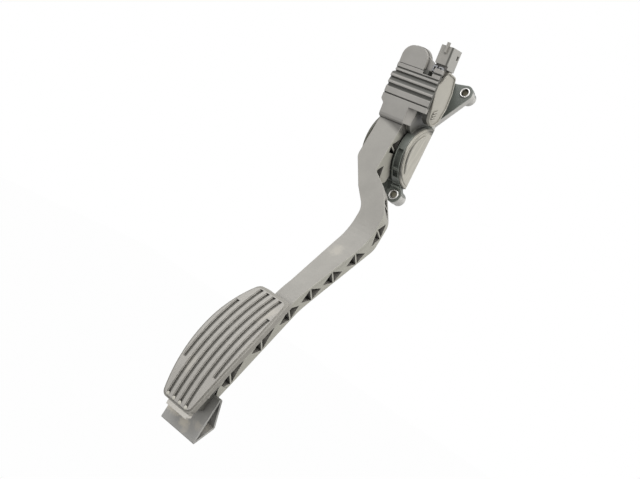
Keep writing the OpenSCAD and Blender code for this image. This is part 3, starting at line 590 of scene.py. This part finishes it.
def turned_steel(name, colour, look, roughness=0.28):
    """Turned metal: fine rings in the roughness, faint smears, painted highlights on its edges and painted shade
    inside.
    """
    s = Shade(name)
    soft, edge = s.edge(look.edge_round * 0.6)
    rings = s.noise(1.0 / look.ring_pitch, detail=1.0, place=s.stretch((0.12, 1.0, 0.12)))
    smear = s.noise(140.0, detail=3.0, rough=0.6)
    base = s.mix(s.span(smear, 0.35, 0.7), shade_of(colour, 0.88), shade_of(colour, 1.04))
    # Painted highlight on the edges.
    base = s.mix(s.times(edge, 0.6), base, shade_of(colour, 1.2))
    # Painted shade inside bores, found by ambient occlusion.
    base = s.mix(s.times(s.pockets(look.bore_reach), 1.5, clamp=True), base, shade_of(look.bore_olive))
    blend = s.calc("ADD", s.times(rings, 0.6), s.times(smear, 0.4))
    rough = s.span(blend, 0.3, 0.7, roughness - 0.06, roughness + 0.12)
    return s.finish(base, rough, s.bump(rings, 0.15, look.ring_depth, soft), metallic=1.0)


def soft_rubber(name, colour, look):
    """Soft rubber: wide dull mottling, fine pores and painted highlights on its edges."""
    s = Shade(name)
    soft, edge = s.edge(look.edge_round)
    cloud = s.noise(90.0, detail=3.0, rough=0.6)
    pores = s.noise(2600.0, rough=0.7)
    base = s.mix(s.span(cloud, 0.3, 0.7), shade_of(colour, 0.8), shade_of(colour, 1.6))
    # Painted highlight on the edges.
    base = s.mix(s.times(edge, 0.4), base, shade_of(colour, 3.0))
    rough = s.span(cloud, 0.3, 0.7, 0.72, 0.9)
    return s.finish(base, rough, s.bump(pores, 0.4, look.pore_depth, soft), specular=0.3)


def coated_board(name, colour, look):
    """Circuit board: tracks between square cells, under a clear green coat."""
    s = Shade(name)
    soft, _ = s.edge(look.edge_round * 0.5)
    cells = s.node("ShaderNodeTexVoronoi", {"Vector": s.place, "Scale": 420.0}, distance="CHEBYCHEV")
    track = s.span(cells.outputs["Distance"], 0.44, 0.50)
    base = s.mix(s.times(track, 0.7), shade_of(colour), shade_of(colour, 2.2))
    rough = s.span(s.noise(300.0), 0.3, 0.7, 0.25, 0.4)
    return s.finish(base, rough, s.bump(track, 0.4, look.track_depth, soft), coat=0.4)


def housing_finish(look):
    """Dark and rather glossy, with worn edges under strong painted highlights, painted sheen on the walls of its
    lugs, and a boss like the hood, with painted shade towards the hood and the sensor.
    """
    zones = ((pivot_boss_zone, look.hood_grey), (boss_shade_zone, look.shadow_grey),
             (cheek_front_zone, look.bore_olive), (lug_wall_sheen_zone, look.wall_sheen_grey))
    return moulded("housing_plastic", look.housing_grey, look, 0.36, wear_and_highlight=1.5, dirt_and_shade=0.9, glint=3.2,
                   rounding=1.5, under=0.9, zones=zones)


def cover_finish(look):
    """Light, with painted sheen in that colour, and streaky, with a shaded crescent, painted shade on its top and
    a dark rim.
    """
    zones = ((cover_shade_zone, look.groove_and_shade_grey), (cover_top_shade_zone, look.shadow_grey),
             (cover_rim_zone, look.shadow_grey))
    return moulded("cover_plastic", look.cover_grey_with_sheen, look, 0.42, grain=0.6, wear_and_highlight=1.6, dirt_and_shade=1.2, glint=1.7,
                   streak=0.5, zones=zones)


def hood_finish(look):
    """Grey, with painted shade in the grooves and on the slopes between its ridges."""
    zones = ((hood_groove_shade_zone, look.groove_and_shade_grey),)
    return moulded("hood_plastic", look.hood_grey, look, dirt_and_shade=1.1, zones=zones)


def sensor_finish(look):
    """Grey and smoother, with painted shade below the socket, painted light on the socket's right side, and bright
    clips at the socket's foot.
    """
    zones = ((below_socket_shade_zone, look.shadow_grey), (latch_zone, look.latch_grey),
             (socket_edge_zone, look.groove_and_shade_grey), (socket_lit_side_zone, look.socket_lit_grey))
    return moulded("sensor_plastic", look.sensor_grey, look, 0.46, grain=0.6, dirt_and_shade=1.1, zones=zones)


def arm_finish(look):
    """Grey, with painted light on its right sides, dirt and painted shade in its pockets, painted shade at its
    foot and a painted shadow under the hood.
    """
    zones = ((arm_lit_side_zone, look.lit_side_grey), (arm_foot_shade_zone, look.groove_and_shade_grey),
             (hood_shadow_on_arm_zone, look.arm_shade))
    return moulded("arm_plastic", look.arm_grey, look, wear_and_highlight=1.8, dirt_and_shade=1.7, glint=1.75,
                   zones=zones, marks=ARM_MARKS)


def tread_finish(look):
    """Worn grey, with dull grooves, a darker border and painted light on its ledge."""
    zones = ((tread_border_zone, look.border_grey), (tread_groove_zone, look.tread_groove),
             (tread_ledge_light_zone, look.ledge_light_grey))
    return moulded("tread_plastic", look.tread_grey, look, 0.55, wear_and_highlight=1.3, dirt_and_shade=0.7,
                   zones=zones, marks=TREAD_MARKS)


def heel_finish(look):
    """Rather glossy grey with painted light below the tread's ledge, and painted shade towards its upper edge."""
    zones = ((heel_top_zone, look.shadow_grey),)
    return moulded("heel_plastic", look.heel_grey, look, 0.36, wear_and_highlight=2.0, dirt_and_shade=1.2, glint=1.9,
                   zones=zones, marks=HEEL_PAINTED_LIGHT)


FINISHES = {}


def make_finishes(look):
    """Makes all finishes of the part, by the record's slot names."""
    FINISHES.update(
        housing_plastic=housing_finish(look),
        cover_plastic=cover_finish(look),
        hood_plastic=hood_finish(look),
        sensor_plastic=sensor_finish(look),
        arm_plastic=arm_finish(look),
        tread_plastic=tread_finish(look),
        heel_plastic=heel_finish(look),
        bearing_plastic=moulded("bearing_plastic", look.bearing_cream, look, 0.40, grain=0.3, wear_and_highlight=0.3),
        bush_steel=turned_steel("bush_steel", look.steel, look),
        spring_steel=turned_steel("spring_steel", look.spring_grey, look, 0.34),
        terminal_metal=turned_steel("terminal_metal", look.terminal_tin, look, 0.30),
        magnet_iron=turned_steel("magnet_iron", look.magnet_grey, look, 0.55),
        stop_rubber=soft_rubber("stop_rubber", look.rubber_black, look),
        board=coated_board("board", look.board_green, look),
    )


def paint(node, material):
    """Gives a CAD node's object one material in all its slots."""
    obj = frame["nodes"][node]
    if not obj.material_slots:
        obj.data.materials.append(material)
    for place in obj.material_slots:
        place.link = "OBJECT"
        place.material = material


# Sizes and colours that a user may change


def colour_prop(name, text, value):
    return bpy.props.FloatVectorProperty(name=name, description=text, default=value, size=3, min=0, max=1,
                                         subtype="COLOR")


def length_prop(name, text, value, low=0.0):
    return bpy.props.FloatProperty(name=name, description=text, default=value, min=low, unit="LENGTH",
                                   subtype="DISTANCE", precision=5)


def plain_prop(name, text, value, low=0.0, high=1000.0):
    return bpy.props.FloatProperty(name=name, description=text, default=value, min=low, max=high)


class PedalFinish(bpy.types.PropertyGroup):
    """Colours and grain of the mouldings and metals."""
    arm_grey: colour_prop("Arm", "Colour of the arm's moulding", (0.400, 0.385, 0.350))
    # Painted light: the lighter colour of the arm's right sides.
    lit_side_grey: colour_prop("Arm's sides", "Colour of the arm's right sides", (0.475, 0.465, 0.405))
    arm_shade: colour_prop("Arm's top", "Colour of the arm under the hood", (0.155, 0.148, 0.132))
    tread_grey: colour_prop("Tread", "Colour of the tread", (0.455, 0.435, 0.398))
    tread_groove: colour_prop("Tread grooves", "Colour of the tread's dull grooves", (0.215, 0.205, 0.180))
    border_grey: colour_prop("Tread border", "Colour of the tread's bevelled border", (0.340, 0.325, 0.290))
    # Painted light: the light colour of the ledge below the tread.
    ledge_light_grey: colour_prop("Ledge", "Colour of the light ledge below the tread", (0.680, 0.650, 0.590))
    heel_grey: colour_prop("Heel stop", "Colour of the heel stop", (0.415, 0.408, 0.385))
    hood_grey: colour_prop("Hood", "Colour of the hood and of the pivot's boss", (0.445, 0.428, 0.395))
    sensor_grey: colour_prop("Sensor", "Colour of the sensor housing", (0.430, 0.413, 0.375))
    # Painted light: the lighter colour of the socket's right side.
    socket_lit_grey: colour_prop("Socket's side", "Colour of the socket's right side", (0.480, 0.470, 0.435))
    latch_grey: colour_prop("Latch", "Colour of the bright clips at the socket's foot", (0.430, 0.435, 0.455))
    # The covers' light colour, which also holds painted sheen.
    cover_grey_with_sheen: colour_prop("Covers", "Colour of the two side covers", (0.560, 0.538, 0.470))
    housing_grey: colour_prop("Housing", "Colour of the bulkhead housing", (0.155, 0.168, 0.148))
    # Painted sheen: the light colour of the lug walls that face right and down.
    wall_sheen_grey: colour_prop("Lug walls", "Colour of the flange's light side walls", (0.660, 0.650, 0.610))
    # Dark colour of grooves and gaps, which also serves as painted shade on the hood, the arm's foot and the
    # cover.
    groove_and_shade_grey: colour_prop("Grooves", "Colour of dull grooves and narrow gaps", (0.120, 0.118, 0.104))
    shadow_grey: colour_prop("Dark walls", "Colour of walls that other pieces hide", (0.085, 0.085, 0.075))
    # Also the colour of painted shade inside bores of turned metal and at the front of the left cheek.
    bore_olive: colour_prop("Inside", "Colour of the insides of bushes and housing", (0.110, 0.100, 0.065))
    bearing_cream: colour_prop("Bushes", "Colour of the natural bearing plastic", (0.700, 0.660, 0.560))
    steel: colour_prop("Steel", "Colour of the turned steel", (0.820, 0.810, 0.790))
    spring_grey: colour_prop("Springs", "Colour of the spring wire", (0.420, 0.420, 0.430))
    terminal_tin: colour_prop("Terminals", "Colour of the tinned terminals", (0.720, 0.660, 0.520))
    magnet_grey: colour_prop("Magnet", "Colour of the sintered magnet", (0.120, 0.120, 0.130))
    rubber_black: colour_prop("Stops", "Colour of the rubber stops", (0.025, 0.025, 0.024))
    board_green: colour_prop("Board", "Colour of the circuit board", (0.035, 0.140, 0.060))
    grain_size: length_prop("Grain", "Size of the fine grain in the mouldings", 0.0007)
    grain_depth: length_prop("Grain depth", "Depth of the fine grain", 0.00012)
    edge_round: length_prop("Edges", "Radius that softens moulded edges", 0.0006)
    # Width of the pockets that take dirt and painted shade.
    dirt_and_shade_reach: length_prop("Pocket reach", "Width of the pockets that hold dirt", 0.006)
    ring_pitch: length_prop("Ring pitch", "Distance between the rings of turned metal", 0.00022)
    ring_depth: length_prop("Ring depth", "Depth of the rings of turned metal", 0.00003)
    bore_reach: length_prop("Bore reach", "Width of the bores that are dull inside", 0.012)
    pore_depth: length_prop("Pore depth", "Depth of the pores in the rubber", 0.00006)
    track_depth: length_prop("Track depth", "Height of the tracks on the circuit board", 0.00004)
    # Amount of lighter edges, which are wear and also painted highlights.
    wear_and_highlight: plain_prop("Wear", "Amount of rubbed, lighter edges", 1.0, 0, 2)
    # Amount of dirt and painted shade in pockets.
    dirt_and_shade: plain_prop("Dirt", "Amount of dark dirt in pockets", 0.9, 0, 2)


class PedalTrim(bpy.types.PropertyGroup):
    """Sizes of the small trim pieces."""
    bead_w: length_prop("Bead width", "Width of the beads on the D-shaped cover", 0.0012)
    bead_h: length_prop("Bead height", "Height of the beads on the D-shaped cover", 0.0005)
    ring_h: length_prop("Ring height", "How far a bush's rolled rim stands out", 0.0006)
    # Radius of the domes at the grooves' ends, whose lighter colour is a painted highlight.
    dome_r: length_prop("Gate marks", "Radius of the gate marks at the grooves' ends", 0.0016)
    lip_rise: length_prop("Cheek lip", "How far the lip stands out over the cheek's edge", 0.0021)
    lid_inset: length_prop("Lid bead inset", "How far the lid's bead lies inside its outline", 0.0009)
    lid_bead_w: length_prop("Lid bead width", "Width of the bead round the sensor's lid", 0.0011)
    lid_bead_h: length_prop("Lid bead height", "Height of the bead round the lid", 0.0003)
    spring_keep: plain_prop("Spring travel", "Share of the springs' length left at full travel", 0.63, 0.3, 1)


class PedalStage(bpy.types.PropertyGroup):
    """Floor and lamps."""
    floor_drop: length_prop("Floor", "Distance from the origin down to the floor", 0.90)
    floor_half: length_prop("Floor size", "Half the width of the floor", 6.0)
    key_power: plain_prop("Key lamp", "Power of the large lamp on the right", 6.5)
    front_power: plain_prop("Front lamp", "Power of the soft lamp in front", 12.0)
    sky: plain_prop("Sky", "Strength of the even light from all round", 0.62)


# Pieces


class PEDAL_OT_paint_frame(bpy.types.Operator):
    """Give every CAD node the finish of its material slot"""
    bl_idname = "pedal.paint_frame"
    bl_label = "Finish the mouldings"

    def execute(self, context):
        make_finishes(context.scene.pedal_finish)
        for part in frame["record"]["subparts"]:
            paint(part["node"], FINISHES[part["material_slot"]])
        return {"FINISHED"}


class PEDAL_OT_bush_rims(bpy.types.Operator):
    """Roll a bright rim round the front of each mounting bush"""
    bl_idname = "pedal.bush_rims"
    bl_label = "Bush rims"

    def execute(self, context):
        """A half-round profile between the bolt hole and the bush's outside, turned round the bolt's axis."""
        gap, sink = 0.15, 0.5
        mounts = {mount["name"]: mount for mount in frame["record"]["mounts"]}
        for side in ("upper", "lower"):
            hole = mounts[f"{side}_hole"]
            x, _, z = np.array(hole["pos_m"]) / MM
            low, high = node_box(f"{side}_mount_bush")
            outer, inner = (high[0] - low[0]) / 2 - gap, hole["dims"]["r_mm"] + gap
            rim = half_round(outer - inner, context.scene.pedal_trim.ring_h / MM, count=12, sink=sink)
            rim[:, 0] += (outer + inner) / 2
            put(f"{side}_bush_rim", turned(rim, np.array([x, low[1], z]), count=64), "bush_steel")
        return {"FINISHED"}


class PEDAL_OT_cover_beads(bpy.types.Operator):
    """Run two beads round the D-shaped cover, inside its edge"""
    bl_idname = "pedal.cover_beads"
    bl_label = "Cover beads"

    def execute(self, context):
        """A half-round profile carried along an arc round the cover's middle, as far as the flange.

        The arc's ends are found on a fine row of angles, where the cover is still clear of the flange.
        """
        arc_rise, clear, count = 0.7, 1.2, 90
        trim = context.scene.pedal_trim
        low, high = node_box("side_cover")
        radius = (high[2] - low[2]) / 2
        middle = np.array([high[0] - arc_rise, low[1] + radius, (low[2] + high[2]) / 2])
        bead = half_round(trim.bead_w / MM, trim.bead_h / MM)
        fine = np.radians(np.linspace(30, 330, 400))
        for name, inset in (("cover_edge_bead", 0.9), ("cover_inner_bead", 3.4)):
            _, y, z = (middle + (radius - inset) * radial(fine)).T
            flange_y = np.interp(z, (FLANGE_FOOT[1], FLANGE_TOP[1]), (FLANGE_FOOT[0], FLANGE_TOP[0]))
            kept = fine[y < flange_y - clear]
            outward = radial(np.linspace(kept[0], kept[-1], count))
            path = middle + (radius - inset) * outward
            put(name, swept(path, outward, TO_THE_RIGHT, bead), "cover_plastic")
        return {"FINISHED"}


class PEDAL_OT_lid_bead(bpy.types.Operator):
    """Run a bead round the lid of the sensor"""
    bl_idname = "pedal.lid_bead"
    bl_label = "Lid bead"

    def execute(self, context):
        """A half-round profile carried round the lid's outline with rounded corners, in the leaning frame."""
        sink = 0.05
        trim = context.scene.pedal_trim
        corners = np.array([[3.22, 33.4], [3.22, 26], [11.5, 1.5], [19.5, -2.2], [27.5, 3], [31.8, 17],
                            [31.4, 31], [26.6, 45], [11, 47], [10.4, 41.5]])
        radii = np.array([3, 3, 6, 6, 7, 10, 10, 4, 2, 4.0])
        path, normals = rounded_loop(corners, radii, trim.lid_inset / MM)
        path = from_head(np.insert(path, 0, 0.0, axis=1))
        path[:, 0] = node_box("sensor_cover")[1][0] - sink
        across = from_head(np.insert(normals, 0, 0.0, axis=1)) - HEAD_ORIGIN
        bead = half_round(trim.lid_bead_w / MM, trim.lid_bead_h / MM)
        put("lid_bead", swept(path, across, TO_THE_RIGHT, bead, closed=True), "cover_plastic")
        return {"FINISHED"}


class PEDAL_OT_grip_ribs(bpy.types.Operator):
    """Set the grip ribs on the lower end of the sensor's lid"""
    bl_idname = "pedal.grip_ribs"
    bl_label = "Grip ribs"

    def execute(self, context):
        """Bars with round ends, turned by their tilt and drawn in at the top, each a step above the last."""
        half, radius, tilt = 2.9, 0.85, math.radians(25)
        first, step, count = np.array([16.3, 4.0]), np.array([0.2, 2.4]), 4
        foot, shoulder, rise, top_share = 1.0, 0.1, 0.3, 0.72
        face = node_box("sensor_cover")[1][0]
        end = np.radians(np.linspace(-90, 90, 7))
        bar = np.stack([half + radius * np.cos(end), radius * np.sin(end)], 1)
        turn = np.array([[math.cos(tilt), math.sin(tilt)], [-math.sin(tilt), math.cos(tilt)]])
        bar = np.concatenate([bar, -bar]) @ turn
        steps = [[face - foot, 1.0], [face - shoulder, 1.0], [face + rise, top_share]]
        points, faces = joined(plate(bar + first + i * step, steps, 0) for i in range(count))
        put("lid_grip_ribs", (from_head(points), faces), "cover_plastic")
        return {"FINISHED"}


class PEDAL_OT_highlight_domes(bpy.types.Operator):
    """Set small domes at the lower ends of the tread's long grooves, lighter than the tread as painted highlights
    """
    bl_idname = "pedal.gate_marks"
    bl_label = "Tread gate marks"

    def execute(self, context):
        """Domes on the tread's curve: a quarter ellipse turned round a line that points forward. Their lighter
        colour is a painted highlight.
        """
        rise, foot, sink, above_low = 0.45, 0.8, 0.05, 3.2
        radius = context.scene.pedal_trim.dome_r / MM
        t = np.linspace(0, math.pi / 2, 7)
        dome = np.stack([radius * np.cos(t), rise * np.sin(t)], 1)
        profile = [[radius, -foot], *dome, [0.0, -foot]]
        z = TREAD_LOW + above_low
        y = TREAD_MIDDLE[0] - math.sqrt(TREAD_CURVE ** 2 - (z - TREAD_MIDDLE[1]) ** 2) + sink
        places = [np.array([TREAD_X + i * GROOVE_PITCH, y, z]) for i in (-1.5, -0.5, 0.5, 1.5)]
        domes = joined(turned(profile, place, count=20) for place in places)
        put("tread_highlight_domes", domes, "cover_plastic", PEDAL)
        return {"FINISHED"}


class PEDAL_OT_arm_toe(bpy.types.Operator):
    """Close the arm's lower end down to the heel stop"""
    bl_idname = "pedal.arm_toe"
    bl_label = "Arm's toe"

    def execute(self, context):
        """A wedge seen from the side, carried across the arm, a little smaller at its two ends."""
        left, right = 24.5, 41.1
        corners = [[-128.0, -266.1], [-117.4, -266.1], [-123.0, -279.2], [-123.4, -279.5], [-128.1, -268.4]]
        toe = plate(corners, bevelled(left, right, bevel=0.4), 0)
        put("arm_toe", toe, "arm_plastic", PEDAL, smooth=False)
        return {"FINISHED"}


class PEDAL_OT_lug_web(bpy.types.Operator):
    """Fill the corner between the lower lug and the flange, behind the room of the arm"""
    bl_idname = "pedal.lug_web"
    bl_label = "Lug web"

    def execute(self, context):
        """An outline seen from the front, carried through the flange, a little smaller at its two ends."""
        front, back = -10.1, -7.1
        corners = [[-6.0, -49.2], [1.0, -57.2], [6.6, -62.2], [12.6, -64.9], [15.0, -60.0], [14.0, -49.2]]
        put("lug_web", plate(corners, bevelled(front, back), 1), "housing_plastic", smooth=False)
        return {"FINISHED"}


class PEDAL_OT_tab_web(bpy.types.Operator):
    """Join the hood's tab to the foot of the connector socket with a web"""
    bl_idname = "pedal.tab_web"
    bl_label = "Tab web"

    def execute(self, context):
        """An outline seen from the front of the leaning hood, carried back, a little smaller at both ends."""
        front, back = 3.6, 6.0
        corners = [[9.5, 41.2], [18.7, 41.2], [18.7, 48.6], [9.5, 54.0]]
        points, faces = plate(corners, bevelled(front, back), 1)
        put("tab_web", (from_head(points), faces), "hood_plastic", smooth=False)
        return {"FINISHED"}


class PEDAL_OT_cheek_lip(bpy.types.Operator):
    """Run a lip round the outer edge of the left cheek"""
    bl_idname = "pedal.cheek_lip"
    bl_label = "Cheek lip"

    def execute(self, context):
        """A bevelled oblong carried along an arc round the cheek's middle, over the cheek's edge."""
        rise = context.scene.pedal_trim.lip_rise / MM
        sink, width, bevel, gap = 1.2, 2.6, 0.4, 0.15
        first, last, count = 84, 276, 120
        middle = np.array([node_box("housing")[0][0] + gap, *CHEEK_MIDDLE])
        outward = radial(np.radians(np.linspace(first, last, count)))
        profile = [[-sink, 0], [rise - bevel, 0], [rise, bevel], [rise, width - bevel], [rise - bevel, width],
                   [-sink, width]]
        put("cheek_lip", swept(middle + CHEEK_R * outward, outward, TO_THE_RIGHT, profile), "housing_plastic")
        return {"FINISHED"}


class PEDAL_OT_springs(bpy.types.Operator):
    """Wind the two return springs"""
    bl_idname = "pedal.springs"
    bl_label = "Return springs"

    def coil(self, node, turns, wire, narrow, wide, keep):
        """A round wire carried along a helix, narrow at the seat and wider at the lever.

        point = (r cos a, y, line + r sin a). y rises slowly in the first and last turn, so that both ends
        lie flat, and r grows from narrow to wide along an S-shaped curve past the seat's share of the length.
        """
        steps_per_turn, wire_sides = 40, 10
        flat_rise, seat_share = 0.1, 0.3
        low, high = node_box(node)
        line = (low[2] + high[2]) / 2
        t = np.linspace(0, turns, turns * steps_per_turn + 1)
        share = np.interp(t, [0, 1, turns - 1, turns], [0, flat_rise, 1 - flat_rise, 1])
        y = low[1] + wire + (high[1] - low[1] - 2 * wire) * share
        grown = np.clip((share - seat_share) / (1 - seat_share), 0, 1)
        r = narrow + (wide - narrow) * grown * grown * (3 - 2 * grown)
        a = 2 * math.pi * t
        out = np.stack([np.cos(a), 0 * a, np.sin(a)], 1)
        path = out * r[:, None] + np.stack([0 * a, y, line + 0 * a], 1)
        ring = np.linspace(0, 2 * math.pi, wire_sides, endpoint=False)
        section = np.stack([np.cos(ring), np.sin(ring)], 1) * wire
        piece = put(f"{node}_coil", swept(path, np.array([0.0, 1.0, 0.0]), out, section), "spring_steel")
        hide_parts(node)
        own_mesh(piece)

    def execute(self, context):
        keep = context.scene.pedal_trim.spring_keep
        self.coil("outer_spring", turns=5, wire=0.75, narrow=5.7, wide=6.3, keep=keep)
        self.coil("inner_spring", turns=6, wire=0.5, narrow=4.25, wide=4.25, keep=keep)
        return {"FINISHED"}


# Stage

CAMERA_PLACE = (0.3632, -0.6030, -0.1560)
CAMERA_FORWARD = Vector((-0.548, 0.835, 0.039))
CAMERA_RIGHT = Vector((0.730, 0.456, 0.509))
CAMERA_LENS = 42.75
CAMERA_SENSOR = 36.0
CAMERA_CLIP = 0.01
LAMP_TARGET = Vector((0.0, -0.05, -0.12))
LAMP_SIZE = 1.0
KEY_PLACE = (1.20, -0.55, 0.45)
KEY_COLOUR = (1.0, 0.975, 0.93)
FRONT_PLACE = (-0.35, -1.40, 1.0)
FRONT_COLOUR = (0.97, 0.98, 1.0)
FLOOR_GLOW = 0.985
WHITE = (1.0, 1.0, 1.0, 1.0)
SKY_COLOUR = (0.98, 0.985, 1.0, 1.0)


class PEDAL_OT_stage(bpy.types.Operator):
    """Lay the floor, hang the lamps and set the camera"""
    bl_idname = "pedal.stage"
    bl_label = "Stage"

    def floor(self, stage):
        """A flat grid. To the camera most of its colour is plain white, and the rest takes the shadow."""
        count = 9
        u = np.linspace(-stage.floor_half, stage.floor_half, count)
        x, y = np.meshgrid(u, u, indexing="ij")
        points = np.stack([x, y, np.full_like(x, -stage.floor_drop)], -1).reshape(-1, 3)
        mesh = bpy.data.meshes.new("floor")
        mesh.from_pydata(points.tolist(), [], grid_faces(count, count, close_cols=False))
        mesh.update()
        floor = bpy.data.objects.new("floor", mesh)
        bpy.context.scene.collection.objects.link(floor)
        mesh.materials.append(self.floor_paper())

    def floor_paper(self):
        """Pale paper, which the camera sees as white directly, in a gloss or through glass."""
        s = Shade("floor_paper")
        greys = s.mix(s.noise(3.0), (0.50, 0.50, 0.50, 1.0), (0.54, 0.54, 0.54, 1.0))
        paper = s.node("ShaderNodeBsdfDiffuse", {"Color": greys})
        glow = s.node("ShaderNodeEmission", {"Color": WHITE, "Strength": 1.0})
        share = s.times(s.seen("Is Camera Ray", "Is Glossy Ray", "Is Transmission Ray"), FLOOR_GLOW)
        s.surface(s.node("ShaderNodeMixShader", {0: share, 1: paper.outputs[0], 2: glow.outputs[0]}))
        return s.material

    def sky(self, stage):
        """Even light from all round, which the camera and glosses see as white."""
        world = bpy.data.worlds.new("studio")
        world.use_nodes = True
        t = Tree(world.node_tree, "ShaderNodeOutputWorld")
        light = t.node("ShaderNodeBackground", {"Color": SKY_COLOUR, "Strength": stage.sky})
        white = t.node("ShaderNodeBackground", {"Color": WHITE, "Strength": 1.0})
        share = t.seen("Is Camera Ray", "Is Glossy Ray")
        t.surface(t.node("ShaderNodeMixShader", {0: share, 1: light.outputs[0], 2: white.outputs[0]}))
        bpy.context.scene.world = world

    def lamp(self, name, place, power, colour):
        """A square lamp that points at the part."""
        light = bpy.data.lights.new(name, "AREA")
        light.shape = "RECTANGLE"
        light.size, light.size_y = LAMP_SIZE, LAMP_SIZE
        light.energy = power
        light.color = colour
        obj = bpy.data.objects.new(name, light)
        bpy.context.scene.collection.objects.link(obj)
        obj.location = place
        obj.rotation_euler = (LAMP_TARGET - Vector(place)).to_track_quat("-Z", "Y").to_euler()

    def camera(self):
        """It looks from the front right. Its axes are its right, its up and its backward direction."""
        data = bpy.data.cameras.new("camera")
        data.lens = CAMERA_LENS
        data.sensor_width = CAMERA_SENSOR
        data.sensor_fit = "HORIZONTAL"
        data.clip_start = CAMERA_CLIP
        forward = CAMERA_FORWARD.normalized()
        right = (CAMERA_RIGHT - forward * CAMERA_RIGHT.dot(forward)).normalized()
        turn = Matrix((right, right.cross(forward), -forward)).transposed().to_4x4()
        obj = bpy.data.objects.new("camera", data)
        bpy.context.scene.collection.objects.link(obj)
        obj.matrix_world = Matrix.Translation(CAMERA_PLACE) @ turn
        bpy.context.scene.camera = obj

    def execute(self, context):
        stage = context.scene.pedal_stage
        self.floor(stage)
        self.sky(stage)
        self.lamp("key", KEY_PLACE, stage.key_power, KEY_COLOUR)
        self.lamp("front", FRONT_PLACE, stage.front_power, FRONT_COLOUR)
        self.camera()
        context.scene.view_settings.view_transform = "Standard"
        return {"FINISHED"}


class PEDAL_PT_panel(bpy.types.Panel):
    """Lists the operators of the pedal"""
    bl_idname = "PEDAL_PT_panel"
    bl_label = "Accelerator Pedal"
    bl_space_type = "VIEW_3D"
    bl_region_type = "UI"
    bl_category = "Pedal"

    def draw(self, context):
        for operator in OPERATORS:
            self.layout.operator(operator.bl_idname)


GROUPS = {"pedal_finish": PedalFinish, "pedal_trim": PedalTrim, "pedal_stage": PedalStage}
OPERATORS = (
    PEDAL_OT_paint_frame,
    PEDAL_OT_bush_rims,
    PEDAL_OT_cover_beads,
    PEDAL_OT_lid_bead,
    PEDAL_OT_grip_ribs,
    PEDAL_OT_highlight_domes,
    PEDAL_OT_arm_toe,
    PEDAL_OT_lug_web,
    PEDAL_OT_tab_web,
    PEDAL_OT_cheek_lip,
    PEDAL_OT_springs,
    PEDAL_OT_stage,
)


def register():
    for made in (*GROUPS.values(), *OPERATORS, PEDAL_PT_panel):
        bpy.utils.register_class(made)
    for name, group in GROUPS.items():
        setattr(bpy.types.Scene, name, bpy.props.PointerProperty(type=group))


def unregister():
    for name in GROUPS:
        delattr(bpy.types.Scene, name)
    for made in reversed((*GROUPS.values(), *OPERATORS, PEDAL_PT_panel)):
        bpy.utils.unregister_class(made)


def main():
    register()
    bpy.ops.pedal.paint_frame()
    bpy.ops.pedal.bush_rims()
    bpy.ops.pedal.cover_beads()
    bpy.ops.pedal.lid_bead()
    bpy.ops.pedal.grip_ribs()
    bpy.ops.pedal.gate_marks()
    bpy.ops.pedal.arm_toe()
    bpy.ops.pedal.lug_web()
    bpy.ops.pedal.tab_web()
    bpy.ops.pedal.cheek_lip()
    bpy.ops.pedal.springs()
    bpy.ops.pedal.stage()


if __name__ == "__main__":
    main()
